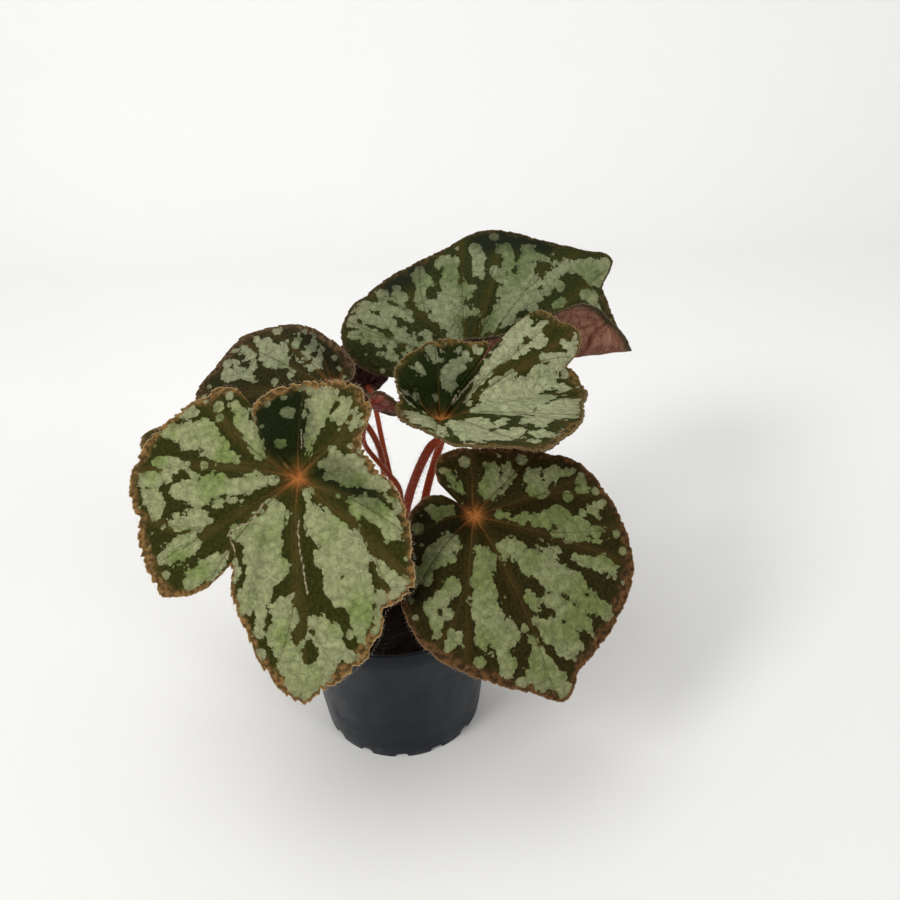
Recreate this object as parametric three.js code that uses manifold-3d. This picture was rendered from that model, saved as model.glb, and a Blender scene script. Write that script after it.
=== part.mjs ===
// A rex begonia in a small round nursery pot: seven lopsided, heart-shaped leaves with waved, toothed
// edges stand on separate stalks, which rise from a short creeping rhizome that lies half sunk in the soil.
// Millimetres, +Z up. The origin is the middle of the pot's flat underside, and the leaves lean towards -Y.
import * as THREE from 'three';
import { mergeVertices } from 'three/addons/utils/BufferGeometryUtils.js';
import Module from 'manifold-3d';

const wasm = await Module();
wasm.setup();

// Driving dimensions.
const POT_HEIGHT = 58.5;
const POT_RIM_RADIUS = 37.5;
const POT_BASE_RADIUS = 30.5;
const POT_WALL = 1.3;
const POT_FLOOR = 2.6;
const RIM_BAND_HEIGHT = 6;
const RIM_BAND_STEP = 0.8;
const FOOT_NOTCHES = 14;
const NOTCH_WIDTH = 5;
const NOTCH_HEIGHT = 2.2;
const NOTCH_DEPTH = 1.2;
const DRAIN_HOLES = 6;
const DRAIN_RADIUS = 3;
const DRAIN_CIRCLE_RADIUS = 18;

const SOIL_LEVEL = 51;
const SOIL_LUMP = 1.1;
const RHIZOME_RADIUS = 6.2;
const RHIZOME_PATH = [[-17, 3, 52], [-6, 1.5, 54], [4, 1, 54.5], [14, -1.5, 52]];
const STALK_ROOT_HEIGHT = 56;
const STALK_SQUARENESS = 0.5;
const STALK_BEND = 6;

const FIT_GAP = 0.35;
const SOCKET_GAP = 0.5;
const BLADE_THICKNESS = 0.9;
const STAR_DEPTH = 3;
const STAR_WIDTH = 8;
const RIB_PUFF = 1.3;
const TOOTH = 0.9;
const MARGIN_STEP = 8;
const BLADE_RINGS = [0.13, 0.36, 0.6, 0.82, 1];

const COLOURS = {
  pot: 0x2e333a,
  soil: 0x1d1611,
  rhizome: 0x6b4a2c,
  leaf: 0x5f7348,
  youngLeaf: 0x8a4640,
  stalk: 0x7a1f17,
};

// Each leaf: `at` is the point over the top of its stalk. The midrib points along `heading`, seen from above
// and counted from +X, and falls by `droop`; `roll` turns the blade about its midrib. `margin` walks once
// round the edge as [degrees from the midrib, mm from the stalk]; the slot between the two basal lobes is at
// `slot`. `dome` lowers the edge, `foldRight` lifts the half right of the midrib, and `stand` lifts the
// basal lobes. `ribs` are the main veins' angles, and `unripe` marks a small red young leaf. The stalk starts
// at `root` on the rhizome and passes `via`.
const LEAVES = [
  {
    name: 'front_left', at: [-25, -30, 128], heading: -90, droop: 48, roll: 8,
    margin: [
      [-168, 31], [-145, 34], [-131, 32], [-113, 23], [-95, 25], [-80, 32], [-56, 43], [-44, 50], [-34, 49],
      [-26, 55], [-17, 60], [-5, 65], [0, 68], [10, 60], [21, 48], [30, 42], [39, 34], [42, 44], [54, 57],
      [70, 56], [79, 54], [89, 56], [105, 53], [117, 48], [131, 43], [146, 37], [150, 4], [154, 24], [165, 28],
    ],
    slot: 150, lobeSweep: 8, lobeLift: 3, dome: 4, wave: 1, waves: 5, wavePhase: 0,
    ribs: [-175, -122, -85, -48, 0, 40, 62, 98, 130],
    root: [-8.5, -0.5], via: [[-13, -4, 86]], stalkRadius: 1.8,
  },
  {
    name: 'front_right', at: [29.5, -30, 111.5], heading: -56, droop: 42, roll: 14,
    margin: [
      [-149, 22], [-130, 25], [-106, 32], [-91, 40], [-75, 45], [-57, 52], [-45, 56], [-24, 57], [-10, 58],
      [0, 64], [6, 59], [13, 55], [29, 49], [44, 45], [64, 37], [79, 30], [95, 25], [111, 22], [134, 17],
      [147, 12], [154, 5], [158, 16], [177, 22],
    ],
    slot: 154, lobeSweep: 0, lobeLift: 1.5, dome: 5, wave: 1, waves: 4, wavePhase: 40,
    ribs: [-160, -118, -83, -48, 0, 38, 80, 115],
    root: [9, -3.5], via: [[15, -10, 84]], stalkRadius: 1.6,
  },
  {
    name: 'centre', at: [19.5, 0, 131.5], heading: -75, droop: -12, roll: 0,
    margin: [
      [-178, 26], [-159, 28], [-145, 29], [-134, 33], [-131, 5], [-129, 45], [-126, 54], [-118, 57], [-111, 60],
      [-105, 56], [-101, 50], [-97, 52], [-81, 50], [-66, 47], [-50, 49], [-32, 50], [-21, 52], [-14, 43],
      [1, 37], [8, 36], [21, 29], [42, 22], [80, 16], [115, 15], [143, 21], [168, 24],
    ],
    slot: -131, lobeSweep: 0, lobeLift: 2, dome: 0, wave: 0.6, waves: 4, wavePhase: 0,
    stand: 50, foldRight: 12,
    ribs: [-170, -120, -88, -55, -21, 20, 80, 140],
    root: [2.5, -0.5], via: [[6.5, -0.5, 95], [15.5, -2, 119]], stalkRadius: 1.8,
  },
  {
    name: 'back', at: [29, 40.5, 126], heading: 8, droop: -7, roll: 43,
    margin: [
      [-170, 33], [-161, 43], [-148, 50], [-137, 51], [-126, 49], [-107, 49], [-89, 51], [-69, 60], [-50, 63],
      [-38, 68.5], [-28, 76], [-21, 64], [-14, 62], [-6, 61], [2, 63], [12, 56], [20, 54], [29, 50], [35, 34],
      [48, 21], [70, 16], [130, 15], [165, 13], [178, 5],
    ],
    slot: 178, lobeSweep: 0, lobeLift: 2, dome: 3, wave: 0.8, waves: 5, wavePhase: 60,
    foldRight: 115,
    ribs: [-142, -111, -78, -50, -27, 0, 35, 110],
    root: [8, 2], via: [[12.4, 12, 88], [19, 25, 104.5]], stalkRadius: 1.6,
  },
  {
    name: 'back_left', at: [-16, 8, 138], heading: 170, droop: 5, roll: -36,
    margin: [
      [-150, 12], [-120, 16], [-90, 19], [-60, 25], [-30, 36], [-12, 45], [0, 51], [12, 46], [22, 44], [30, 43],
      [41, 38], [59, 30], [78, 20], [100, 14], [125, 11], [145, 8], [160, 3], [175, 9],
    ],
    slot: 160, lobeSweep: 0, lobeLift: 1, dome: 3, wave: 0.8, waves: 5, wavePhase: 20,
    ribs: [-140, -95, -50, 0, 30, 62, 105],
    root: [-8, 4.5], via: [[-1.6, 9, 106], [-5, 8, 121]], stalkRadius: 1.2,
  },
  {
    name: 'left', at: [-42, 8, 117], heading: 178, droop: -7, roll: 0,
    margin: [
      [-160, 21], [-130, 23], [-95, 24], [-65, 28], [-40, 34], [-18, 39], [3, 43], [22, 36], [45, 31],
      [75, 28], [105, 26], [130, 23], [150, 4], [170, 20],
    ],
    slot: 150, lobeSweep: 0, lobeLift: 1.5, dome: 6, wave: 1.5, waves: 4, wavePhase: 90,
    ribs: [-140, -90, -45, 3, 50, 100],
    root: [-13, 3], via: [[-25, 5, 86]], stalkRadius: 1.3,
  },
  {
    name: 'young', at: [-2.5, 8, 134.5], heading: 0, droop: 35, roll: -55, unripe: true,
    margin: [
      [-155, 5], [-115, 7], [-70, 8], [-50, 10], [-25, 12], [0, 10.5], [25, 8.6], [50, 8], [75, 7.5], [100, 6.2],
      [125, 4.5], [155, 4], [178, 3],
    ],
    slot: 178, lobeSweep: 0, lobeLift: 0, dome: -6, wave: 0.3, waves: 4, wavePhase: 0,
    ribs: [-120, -60, 0, 60, 120],
    root: [-2.5, 3.5], via: [[4.1, 4, 98], [-0.6, 4, 107], [-7, 4.5, 118]], stalkRadius: 1,
  },
  {
    name: 'bud', at: [-9.7, 51, 115.5], heading: 112, droop: -65, roll: 180, unripe: true,
    margin: [
      [-163, 4.5], [-128, 4.5], [-102, 6.3], [-82, 10], [-73, 10.3], [-48, 10.5], [-20, 13.2], [1, 16], [17, 18],
      [34, 18.5], [51, 16.8], [75, 14.7], [100, 13.3], [121, 10.7], [146, 7.5], [165, 5],
    ],
    slot: 178, lobeSweep: 0, lobeLift: 0, dome: 1, wave: 0.5, waves: 4, wavePhase: 0,
    ribs: [-90, -40, 10, 50, 95, 150],
    root: [3, 4.6], via: [[2, 13, 82], [-3, 30, 103]], stalkRadius: 1.1,
  },
];

const group = new THREE.Group();
const { degToRad, euclideanModulo, lerp, smoothstep } = THREE.MathUtils;

function material(color, roughness) {
  return new THREE.MeshStandardMaterial({ color, roughness, metalness: 0 });
}

function addPart(name, geometry, partMaterial) {
  const mesh = new THREE.Mesh(geometry, partMaterial);
  mesh.name = name;
  group.add(mesh);
  return mesh;
}

// ---- Closed solids, joined and cut ----

function toSolid(geometry) {
  const bare = geometry.clone();
  bare.deleteAttribute('normal');
  bare.deleteAttribute('uv');
  const merged = mergeVertices(bare, 1e-4);
  const corners = merged.index.array;
  const triangles = [];
  for (let i = 0; i < corners.length; i += 3) {
    const [a, b, c] = [corners[i], corners[i + 1], corners[i + 2]];
    if (a !== b && b !== c && c !== a) triangles.push(a, b, c);
  }
  const mesh = new wasm.Mesh({
    numProp: 3,
    vertProperties: new Float32Array(merged.attributes.position.array),
    triVerts: new Uint32Array(triangles),
  });
  return new wasm.Manifold(mesh);
}

function toGeometry(solid) {
  const mesh = solid.getMesh();
  const geometry = new THREE.BufferGeometry();
  geometry.setAttribute('position', new THREE.BufferAttribute(mesh.vertProperties, 3));
  geometry.setIndex(new THREE.BufferAttribute(mesh.triVerts, 1));
  geometry.computeVertexNormals();
  return geometry;
}

// A lathed solid stands on +Z; its profile is [radius, height] pairs that start and end on the axis.
function lathe(profile, sides) {
  const points = profile.map(([radius, height]) => new THREE.Vector2(radius, height));
  return new THREE.LatheGeometry(points, sides).rotateX(Math.PI / 2);
}

function tube(points, radius, sides, steps) {
  const section = new THREE.Shape();
  for (let i = 0; i < sides; i += 1) {
    const turn = (2 * Math.PI * i) / sides;
    const [x, y] = [radius * Math.cos(turn), radius * Math.sin(turn)];
    if (i === 0) section.moveTo(x, y);
    else section.lineTo(x, y);
  }
  const extrudePath = new THREE.CatmullRomCurve3(points, false, 'centripetal');
  return new THREE.ExtrudeGeometry(section, { steps, extrudePath, bevelEnabled: false });
}

// ---- Pot: a tapered shell with a raised band at the rim, notches round the foot and drain holes ----

function potGeometry() {
  const bandBottom = POT_HEIGHT - RIM_BAND_HEIGHT;
  const bodyTop = POT_RIM_RADIUS - RIM_BAND_STEP;
  const profile = [
    [0, 0],
    [POT_BASE_RADIUS, 0],
    [bodyTop, bandBottom],
    [POT_RIM_RADIUS, bandBottom],
    [POT_RIM_RADIUS, POT_HEIGHT],
    [POT_RIM_RADIUS - POT_WALL, POT_HEIGHT],
    [bodyTop - POT_WALL, bandBottom],
    [POT_BASE_RADIUS - POT_WALL, POT_FLOOR],
    [0, POT_FLOOR],
  ];
  let solid = toSolid(lathe(profile, 4 * FOOT_NOTCHES));
  for (let i = 0; i < FOOT_NOTCHES; i += 1) {
    const notch = new THREE.BoxGeometry(2 * NOTCH_DEPTH, NOTCH_WIDTH, 2 * NOTCH_HEIGHT);
    notch.translate(POT_BASE_RADIUS, 0, 0);
    notch.rotateZ((2 * Math.PI * (i + 0.5)) / FOOT_NOTCHES);
    solid = solid.subtract(toSolid(notch));
  }
  for (let i = 0; i < DRAIN_HOLES; i += 1) {
    const hole = new THREE.CylinderGeometry(DRAIN_RADIUS, DRAIN_RADIUS, 4 * POT_FLOOR, 12).rotateX(Math.PI / 2);
    hole.translate(DRAIN_CIRCLE_RADIUS, 0, 0);
    hole.rotateZ((2 * Math.PI * i) / DRAIN_HOLES);
    solid = solid.subtract(toSolid(hole));
  }
  return toGeometry(solid);
}

// ---- Rhizome: a thick creeping stem with a plain hole for each stalk ----

// Grown by `gap` on its sides and ends, the same tube cuts the trough in the soil.
function rhizomeTube(gap) {
  const points = RHIZOME_PATH.map((point) => new THREE.Vector3(...point));
  const [first, second] = points;
  const [beforeLast, last] = points.slice(-2);
  first.addScaledVector(second.clone().sub(first).normalize(), -gap);
  last.addScaledVector(beforeLast.clone().sub(last).normalize(), -gap);
  return toSolid(tube(points, RHIZOME_RADIUS + gap, 14, 12));
}

function rhizomeGeometry(stalks) {
  let solid = rhizomeTube(0);
  for (const stalk of stalks) solid = solid.subtract(stalk.socket);
  return toGeometry(solid);
}

// ---- Soil: fills the pot to a lumpy top, with a trough for the rhizome ----

function soilTop(x, y) {
  return SOIL_LEVEL + SOIL_LUMP * (Math.sin(0.31 * x + 0.7) * Math.cos(0.27 * y) + 0.5 * Math.sin(0.6 * (x - y)));
}

function soilGeometry() {
  const innerRadius = (height) => lerp(
    POT_BASE_RADIUS - POT_WALL,
    POT_RIM_RADIUS - RIM_BAND_STEP - POT_WALL,
    (height - POT_FLOOR) / (POT_HEIGHT - RIM_BAND_HEIGHT - POT_FLOOR),
  );
  const bottom = POT_FLOOR + FIT_GAP;
  const edge = innerRadius(SOIL_LEVEL - 3) - FIT_GAP;
  const profile = [[0, bottom], [innerRadius(bottom) - 2 * FIT_GAP, bottom], [edge, SOIL_LEVEL - 2]];
  const rings = [0.86, 0.64, 0.42, 0.2, 0];
  for (const share of rings) profile.push([edge * share, SOIL_LEVEL]);
  const geometry = lathe(profile, 36);
  const position = geometry.attributes.position;
  for (let i = 0; i < position.count; i += 1) {
    if (position.getZ(i) > SOIL_LEVEL - 1) position.setZ(i, soilTop(position.getX(i), position.getY(i)));
  }
  return toGeometry(toSolid(geometry).subtract(rhizomeTube(FIT_GAP)));
}

// ---- Leaf blades ----

// The edge's distance from the stalk at an angle: a smooth curve through the margin's points that never
// swings past them, so that notches and the slot stay sharp.
function marginRadius(margin, angle) {
  const points = [];
  for (const turn of [-360, 0, 360]) {
    for (const [degrees, radius] of margin) points.push([degrees + turn, radius]);
  }
  const slope = (i) => (points[i + 1][1] - points[i][1]) / (points[i + 1][0] - points[i][0]);
  const tangent = (i) => {
    const [before, after] = [slope(i - 1), slope(i)];
    return before * after <= 0 ? 0 : (2 * before * after) / (before + after);
  };
  const k = points.findIndex(([degrees]) => degrees > angle) - 1;
  const width = points[k + 1][0] - points[k][0];
  const t = (angle - points[k][0]) / width;
  return (2 * t ** 3 - 3 * t ** 2 + 1) * points[k][1]
    + (t ** 3 - 2 * t ** 2 + t) * width * tangent(k)
    + (3 * t ** 2 - 2 * t ** 3) * points[k + 1][1]
    + (t ** 3 - t ** 2) * width * tangent(k + 1);
}

// How far the blade puffs up between its two nearest ribs, from 0 on a rib to 1 midway.
function betweenRibs(ribs, angle) {
  const steps = ribs.map((rib, i) => euclideanModulo((ribs[(i + 1) % ribs.length] - rib), 360));
  const i = ribs.findIndex((rib, k) => euclideanModulo(angle - rib, 360) < steps[k]);
  const share = euclideanModulo(angle - ribs[i], 360) / steps[i];
  return Math.sin(Math.PI * share) ** 2;
}

// A point of one face of the blade, `above` the middle of its thickness, at an angle from the midrib and a
// share of the way to the edge.
function bladePoint(leaf, angle, radius, share, above) {
  const pastSlot = euclideanModulo(angle - leaf.slot + 180, 360) - 180;
  const lobe = Math.exp(-((pastSlot / 22) ** 2)) * smoothstep(share, 0.15, 0.7);
  const onTop = pastSlot > 0 ? 1 : 0;
  const turned = degToRad(angle - leaf.lobeSweep * lobe * onTop);
  let x = radius * Math.sin(turned);
  let y = radius * Math.cos(turned);
  let z = above - leaf.dome * (radius / 50) ** 2
    - STAR_DEPTH * Math.exp(-((radius / STAR_WIDTH) ** 2))
    + leaf.lobeLift * lobe * (onTop - 0.3)
    + leaf.wave * share ** 3 * Math.sin(degToRad(leaf.waves * angle + leaf.wavePhase))
    + RIB_PUFF * betweenRibs(leaf.ribs, angle) * Math.sin(Math.PI * share ** 0.8);
  if (x > 0) {
    const fold = degToRad(leaf.foldRight ?? 0) * smoothstep(x, 0, 10);
    [x, z] = [x * Math.cos(fold) - z * Math.sin(fold), x * Math.sin(fold) + z * Math.cos(fold)];
  }
  const lift = degToRad(leaf.stand ?? 0) * smoothstep(-y, 0, 12);
  [y, z] = [y * Math.cos(lift) + z * Math.sin(lift), z * Math.cos(lift) - y * Math.sin(lift)];
  return new THREE.Vector3(x, y, z);
}

// The angles at which the edge is sampled: each margin point, and even steps between them.
function marginAngles(margin) {
  const angles = [];
  margin.forEach(([degrees], i) => {
    const next = i + 1 < margin.length ? margin[i + 1][0] : margin[0][0] + 360;
    const steps = Math.max(1, Math.round((next - degrees) / MARGIN_STEP));
    for (let k = 0; k < steps; k += 1) angles.push(lerp(degrees, next, k / steps));
  });
  return angles;
}

// Both faces share one pattern of triangles: a fan at the stalk, then rings out to the edge.
function bladeGeometry(leaf) {
  const angles = marginAngles(leaf.margin);
  const count = angles.length;
  const positions = [];
  const indices = [];
  for (const above of [BLADE_THICKNESS / 2, -BLADE_THICKNESS / 2]) {
    positions.push(...bladePoint(leaf, 0, 0, 0, above));
    for (const share of BLADE_RINGS) {
      angles.forEach((angle, i) => {
        const tooth = i % 2 === 0 ? TOOTH : 0;
        const radius = marginRadius(leaf.margin, angle) - tooth;
        positions.push(...bladePoint(leaf, angle, radius * share, share, above));
      });
    }
  }
  const face = 1 + BLADE_RINGS.length * count;
  const corner = (ring, i) => 1 + ring * count + (i % count);
  const addBothFaces = (a, b, c) => {
    indices.push(a, c, b);
    indices.push(face + a, face + b, face + c);
  };
  for (let i = 0; i < count; i += 1) {
    addBothFaces(0, corner(0, i), corner(0, i + 1));
    for (let ring = 1; ring < BLADE_RINGS.length; ring += 1) {
      addBothFaces(corner(ring - 1, i), corner(ring, i), corner(ring, i + 1));
      addBothFaces(corner(ring - 1, i), corner(ring, i + 1), corner(ring - 1, i + 1));
    }
    const [a, b] = [corner(BLADE_RINGS.length - 1, i), corner(BLADE_RINGS.length - 1, i + 1)];
    indices.push(a, b, face + b);
    indices.push(a, face + b, face + a);
  }
  const geometry = new THREE.BufferGeometry();
  geometry.setAttribute('position', new THREE.Float32BufferAttribute(positions, 3));
  geometry.setIndex(indices);
  geometry.computeVertexNormals();
  return geometry;
}

function placeBlade(mesh, leaf) {
  mesh.position.set(...leaf.at);
  mesh.rotation.set(degToRad(-leaf.droop), degToRad(leaf.roll), degToRad(leaf.heading - 90), 'ZXY');
  mesh.updateMatrix();
}

// ---- Stalks: each rises out of its hole in the rhizome and bends in under its blade's star ----

function makeStalk(leaf, blade) {
  const star = new THREE.Vector3(0, 0, -STAR_DEPTH - BLADE_THICKNESS / 2).applyMatrix4(blade.matrix);
  const down = new THREE.Vector3(0, 0, -1).transformDirection(blade.matrix);
  const root = new THREE.Vector3(...leaf.root, STALK_ROOT_HEIGHT);
  const via = leaf.via.map((point) => new THREE.Vector3(...point));
  const fromBelow = via[via.length - 1].clone().sub(star).normalize();
  const arrival = fromBelow.lerp(down, STALK_SQUARENESS).normalize();
  const clearance = FIT_GAP + leaf.stalkRadius * Math.sin(arrival.angleTo(down));
  const top = star.clone().addScaledVector(down, clearance);
  const approach = top.clone().addScaledVector(arrival, STALK_BEND);
  const route = [root, ...via, approach, top];
  const buried = root.clone().setZ(STALK_ROOT_HEIGHT - SOCKET_GAP);
  const steps = 3 * route.length;
  return {
    geometry: tube(route, leaf.stalkRadius, 8, steps),
    socket: toSolid(tube([buried, ...route.slice(1)], leaf.stalkRadius + SOCKET_GAP, 8, steps)),
  };
}

// ---- The plant ----

const stalks = LEAVES.map((leaf) => {
  const colour = leaf.unripe ? COLOURS.youngLeaf : COLOURS.leaf;
  const blade = addPart(`leaf_${leaf.name}`, bladeGeometry(leaf), material(colour, 0.6));
  placeBlade(blade, leaf);
  const stalk = makeStalk(leaf, blade);
  addPart(`stalk_${leaf.name}`, stalk.geometry, material(COLOURS.stalk, 0.5));
  return stalk;
});

addPart('pot', potGeometry(), material(COLOURS.pot, 0.55));
addPart('soil', soilGeometry(), material(COLOURS.soil, 0.95));
addPart('rhizome', rhizomeGeometry(stalks), material(COLOURS.rhizome, 0.8));

export default group;
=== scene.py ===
"""A young rex begonia in its small nursery pot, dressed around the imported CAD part. Sizes are in millimetres
in the tables and are turned into metres where a mesh is placed."""

import math

import bpy
import numpy as np
from mathutils import Euler, Matrix, Vector, noise


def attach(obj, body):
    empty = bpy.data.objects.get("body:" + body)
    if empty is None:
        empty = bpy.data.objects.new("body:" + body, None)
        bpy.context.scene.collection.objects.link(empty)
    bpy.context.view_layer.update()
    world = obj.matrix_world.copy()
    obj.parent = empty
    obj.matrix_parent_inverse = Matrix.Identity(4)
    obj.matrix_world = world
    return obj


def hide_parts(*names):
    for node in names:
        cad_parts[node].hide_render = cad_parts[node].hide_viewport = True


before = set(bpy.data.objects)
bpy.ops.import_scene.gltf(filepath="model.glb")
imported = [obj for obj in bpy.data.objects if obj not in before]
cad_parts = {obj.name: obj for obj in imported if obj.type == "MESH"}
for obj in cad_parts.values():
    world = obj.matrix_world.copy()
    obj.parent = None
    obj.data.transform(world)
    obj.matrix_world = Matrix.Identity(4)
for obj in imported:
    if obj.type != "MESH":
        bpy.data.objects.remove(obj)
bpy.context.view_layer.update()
MM = 0.001

# ---------------------------------------------------------------------------------------------------------
# Pot. One thin injection moulding in charcoal polypropylene, turned up from its foot as a tapered shell with
# a raised band under the lip. The foot has fourteen arched notches that let air under it, and the floor has
# six drain holes. The bare plastic is satin, with faint flow marks and a little dried compost on it.

POT_SIDES = 112
POT_PROFILE = [  # radius, height: foot, wall, band, lip, then down the inside to the floor
    (30.5, 0), (31.2, 6), (36.7, 52.5), (37.5, 52.9), (37.5, 58.5), (36.2, 58.5), (35.4, 52.4), (29.2, 2.6),
]
NOTCHES = 14
NOTCH_RADIUS = 2.5
NOTCH_RISE = 0.9
NOTCH_DEPTH = 1.2
DRAIN_HOLES = 6
DRAIN_RADIUS = 3
DRAIN_CIRCLE = 18
CUTTER_LENGTH = 6
EDGE_ROUND = 0.28


def deselect_all():
    if bpy.context.object and bpy.context.object.mode != "OBJECT":
        bpy.ops.object.mode_set(mode="OBJECT")
    bpy.ops.object.select_all(action="DESELECT")


def select_only(piece):
    deselect_all()
    bpy.context.view_layer.objects.active = piece
    piece.select_set(True)


def apply_all(piece):
    select_only(piece)
    for modifier in list(piece.modifiers):
        bpy.ops.object.modifier_apply(modifier=modifier.name)


def join_all(pieces, name):
    deselect_all()
    for piece in pieces:
        piece.select_set(True)
    bpy.context.view_layer.objects.active = pieces[0]
    bpy.ops.object.join()
    bpy.ops.object.transform_apply(location=True, rotation=True, scale=True)
    joined = bpy.context.object
    joined.name = joined.data.name = name
    return joined


def smooth(piece, degrees):
    select_only(piece)
    bpy.ops.object.shade_smooth_by_angle(angle=math.radians(degrees))


def give(piece, *materials):
    piece.data.materials.clear()
    for material in materials:
        piece.data.materials.append(material)


class Finish:
    """One node material. An input of a node may be a number, a colour or another node's socket."""

    def __init__(self, name):
        self.material = bpy.data.materials.new(name)
        self.material.use_nodes = True
        self.tree = self.material.node_tree
        self.shader = self.tree.nodes["Principled BSDF"]

    def add(self, kind, inputs=None, out=0, **settings):
        node = self.tree.nodes.new("ShaderNode" + kind)
        for key, value in settings.items():
            setattr(node, key, value)
        for key, value in (inputs or {}).items():
            self.feed(node.inputs[key], value)
        return node.outputs[out]

    def feed(self, socket, value):
        if isinstance(value, bpy.types.NodeSocket):
            self.tree.links.new(value, socket)
        elif isinstance(value, tuple) and len(value) == 3 and socket.type == "RGBA":
            socket.default_value = (*value, 1)
        else:
            socket.default_value = value

    def place(self):
        return self.add("TexCoord", out="Object")

    def blend(self, share, one, two):
        return self.add("MixRGB", {"Fac": share, "Color1": one, "Color2": two})

    def times(self, one, two):
        return self.add("MixRGB", {"Fac": 1, "Color1": one, "Color2": two}, blend_type="MULTIPLY")

    def math(self, operation, one, two=0.0):
        return self.add("Math", {0: one, 1: two}, operation=operation)

    def product(self, one, two):
        return self.math("MULTIPLY", one, two)

    def ramp(self, value, low, high, to_low=0.0, to_high=1.0):
        inputs = {"Value": value, "From Min": low, "From Max": high, "To Min": to_low, "To Max": to_high}
        return self.add("MapRange", inputs, interpolation_type="SMOOTHSTEP")

    def noise(self, place, scale, detail=3.0, rough=0.5, out=0):
        inputs = {"Vector": place, "Scale": scale, "Detail": detail, "Roughness": rough}
        return self.add("TexNoise", inputs, out=out)

    def cells(self, place, scale, feature="F1", out="Distance"):
        return self.add("TexVoronoi", {"Vector": place, "Scale": scale}, out=out, feature=feature)

    def bump(self, height, millimetres, under=None):
        inputs = {"Height": height, "Distance": millimetres * MM, "Strength": 1.0}
        if under is not None:
            inputs["Normal"] = under
        return self.add("Bump", inputs)

    def surface(self, colour, roughness, normal=None, **fixed):
        self.feed(self.shader.inputs["Base Color"], colour)
        self.feed(self.shader.inputs["Roughness"], roughness)
        if normal is not None:
            self.feed(self.shader.inputs["Normal"], normal)
        for key, value in fixed.items():
            self.shader.inputs[key.replace("_", " ")].default_value = value
        return self.material


deselect_all()
foot_radius = POT_PROFILE[0][0]
bpy.ops.mesh.primitive_circle_add(vertices=POT_SIDES, radius=foot_radius * MM, fill_type="NGON")
pot = bpy.context.object
pot.name = pot.data.name = "pot_shell"
bpy.ops.object.mode_set(mode="EDIT")
for (radius, height), (next_radius, next_height) in zip(POT_PROFILE, POT_PROFILE[1:]):
    rise = (next_height - height) * MM
    bpy.ops.mesh.extrude_region_move(TRANSFORM_OT_translate={"value": (0, 0, rise)})
    grow = next_radius / radius
    bpy.ops.transform.resize(value=(grow, grow, 1), center_override=(0, 0, next_height * MM))
bpy.ops.mesh.select_all(action="SELECT")
bpy.ops.mesh.normals_make_consistent(inside=False)
bpy.ops.object.mode_set(mode="OBJECT")

cutters = []
for i in range(NOTCHES):
    turn = 2 * math.pi * (i + 0.5) / NOTCHES
    reach = (foot_radius - NOTCH_DEPTH + CUTTER_LENGTH / 2) * MM
    bpy.ops.mesh.primitive_cylinder_add(
        vertices=24, radius=NOTCH_RADIUS * MM, depth=CUTTER_LENGTH * MM,
        location=(reach * math.cos(turn), reach * math.sin(turn), 0), rotation=(0, math.pi / 2, turn),
    )
    bpy.context.object.scale.x = NOTCH_RISE
    cutters.append(bpy.context.object)
for i in range(DRAIN_HOLES):
    turn = 2 * math.pi * i / DRAIN_HOLES
    bpy.ops.mesh.primitive_cylinder_add(
        vertices=24, radius=DRAIN_RADIUS * MM, depth=2 * CUTTER_LENGTH * MM,
        location=(DRAIN_CIRCLE * MM * math.cos(turn), DRAIN_CIRCLE * MM * math.sin(turn), 0),
    )
    cutters.append(bpy.context.object)
cutter = join_all(cutters, "pot_cutter")
cut = pot.modifiers.new("openings", "BOOLEAN")
cut.operation = "DIFFERENCE"
cut.object = cutter
cut.solver = "EXACT"
apply_all(pot)
bpy.data.objects.remove(cutter)
edge = pot.modifiers.new("moulded_edges", "BEVEL")
edge.width = EDGE_ROUND * MM
edge.segments = 2
edge.limit_method = "ANGLE"
edge.angle_limit = math.radians(32)
apply_all(pot)
smooth(pot, 40)

plastic = Finish("charcoal_plastic")
where = plastic.place()
tall = plastic.add("Mapping", {"Vector": where, "Scale": (1, 1, 0.12)})
flow = plastic.noise(tall, 160, detail=4)
grime = plastic.noise(where, 95, detail=6, rough=0.65)
near_speck = plastic.ramp(plastic.cells(where, 240), 0.16, 0.08)
each = plastic.add("SeparateColor", {"Color": plastic.cells(where, 240, out="Color")})
speck = plastic.product(near_speck, plastic.ramp(each, 0.86, 0.9))
low = plastic.ramp(plastic.add("SeparateXYZ", {"Vector": where}, out="Z"), 0.0, 0.02, 1.0, 0.25)
dusty = plastic.product(plastic.ramp(grime, 0.52, 0.76), low)
bare = plastic.blend(flow, (0.0022, 0.0046, 0.0090), (0.0052, 0.0090, 0.0155))
tinted = plastic.blend(plastic.product(dusty, 0.12), bare, (0.085, 0.078, 0.068))
dotted = plastic.blend(plastic.product(speck, 0.5), tinted, (0.12, 0.12, 0.10))
satin = plastic.math("ADD", plastic.ramp(grime, 0.3, 0.7, 0.34, 0.48), plastic.product(dusty, 0.2))
grain = plastic.bump(plastic.noise(where, 2600, detail=2), 0.03)
give(pot, plastic.surface(dotted, satin, plastic.bump(flow, 0.12, grain), Specular_IOR_Level=0.19))
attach(pot, "root")
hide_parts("pot")

# ---------------------------------------------------------------------------------------------------------
# Soil. Dark peat and bark potting mix, filled to some seven millimetres below the lip and settled into soft
# lumps. The body is one lumpy plug that fits the pot, and loose crumbs and bark chips are strewn on top.

SOIL_LEVEL = 51
SOIL_LUMP = 1.1
SOIL_FLOOR = 2.95
SOIL_FLOOR_RADIUS = 28.6
SOIL_EDGE_RADIUS = 34.5
SOIL_TOP_SHARE = 0.72  # of the rows from the middle outwards
CRUMBS = 900
SEAM_GAP = 0.02


def corners_of(piece):
    flat = np.empty(3 * len(piece.data.vertices))
    piece.data.vertices.foreach_get("co", flat)
    return flat.reshape(-1, 3)


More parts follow.
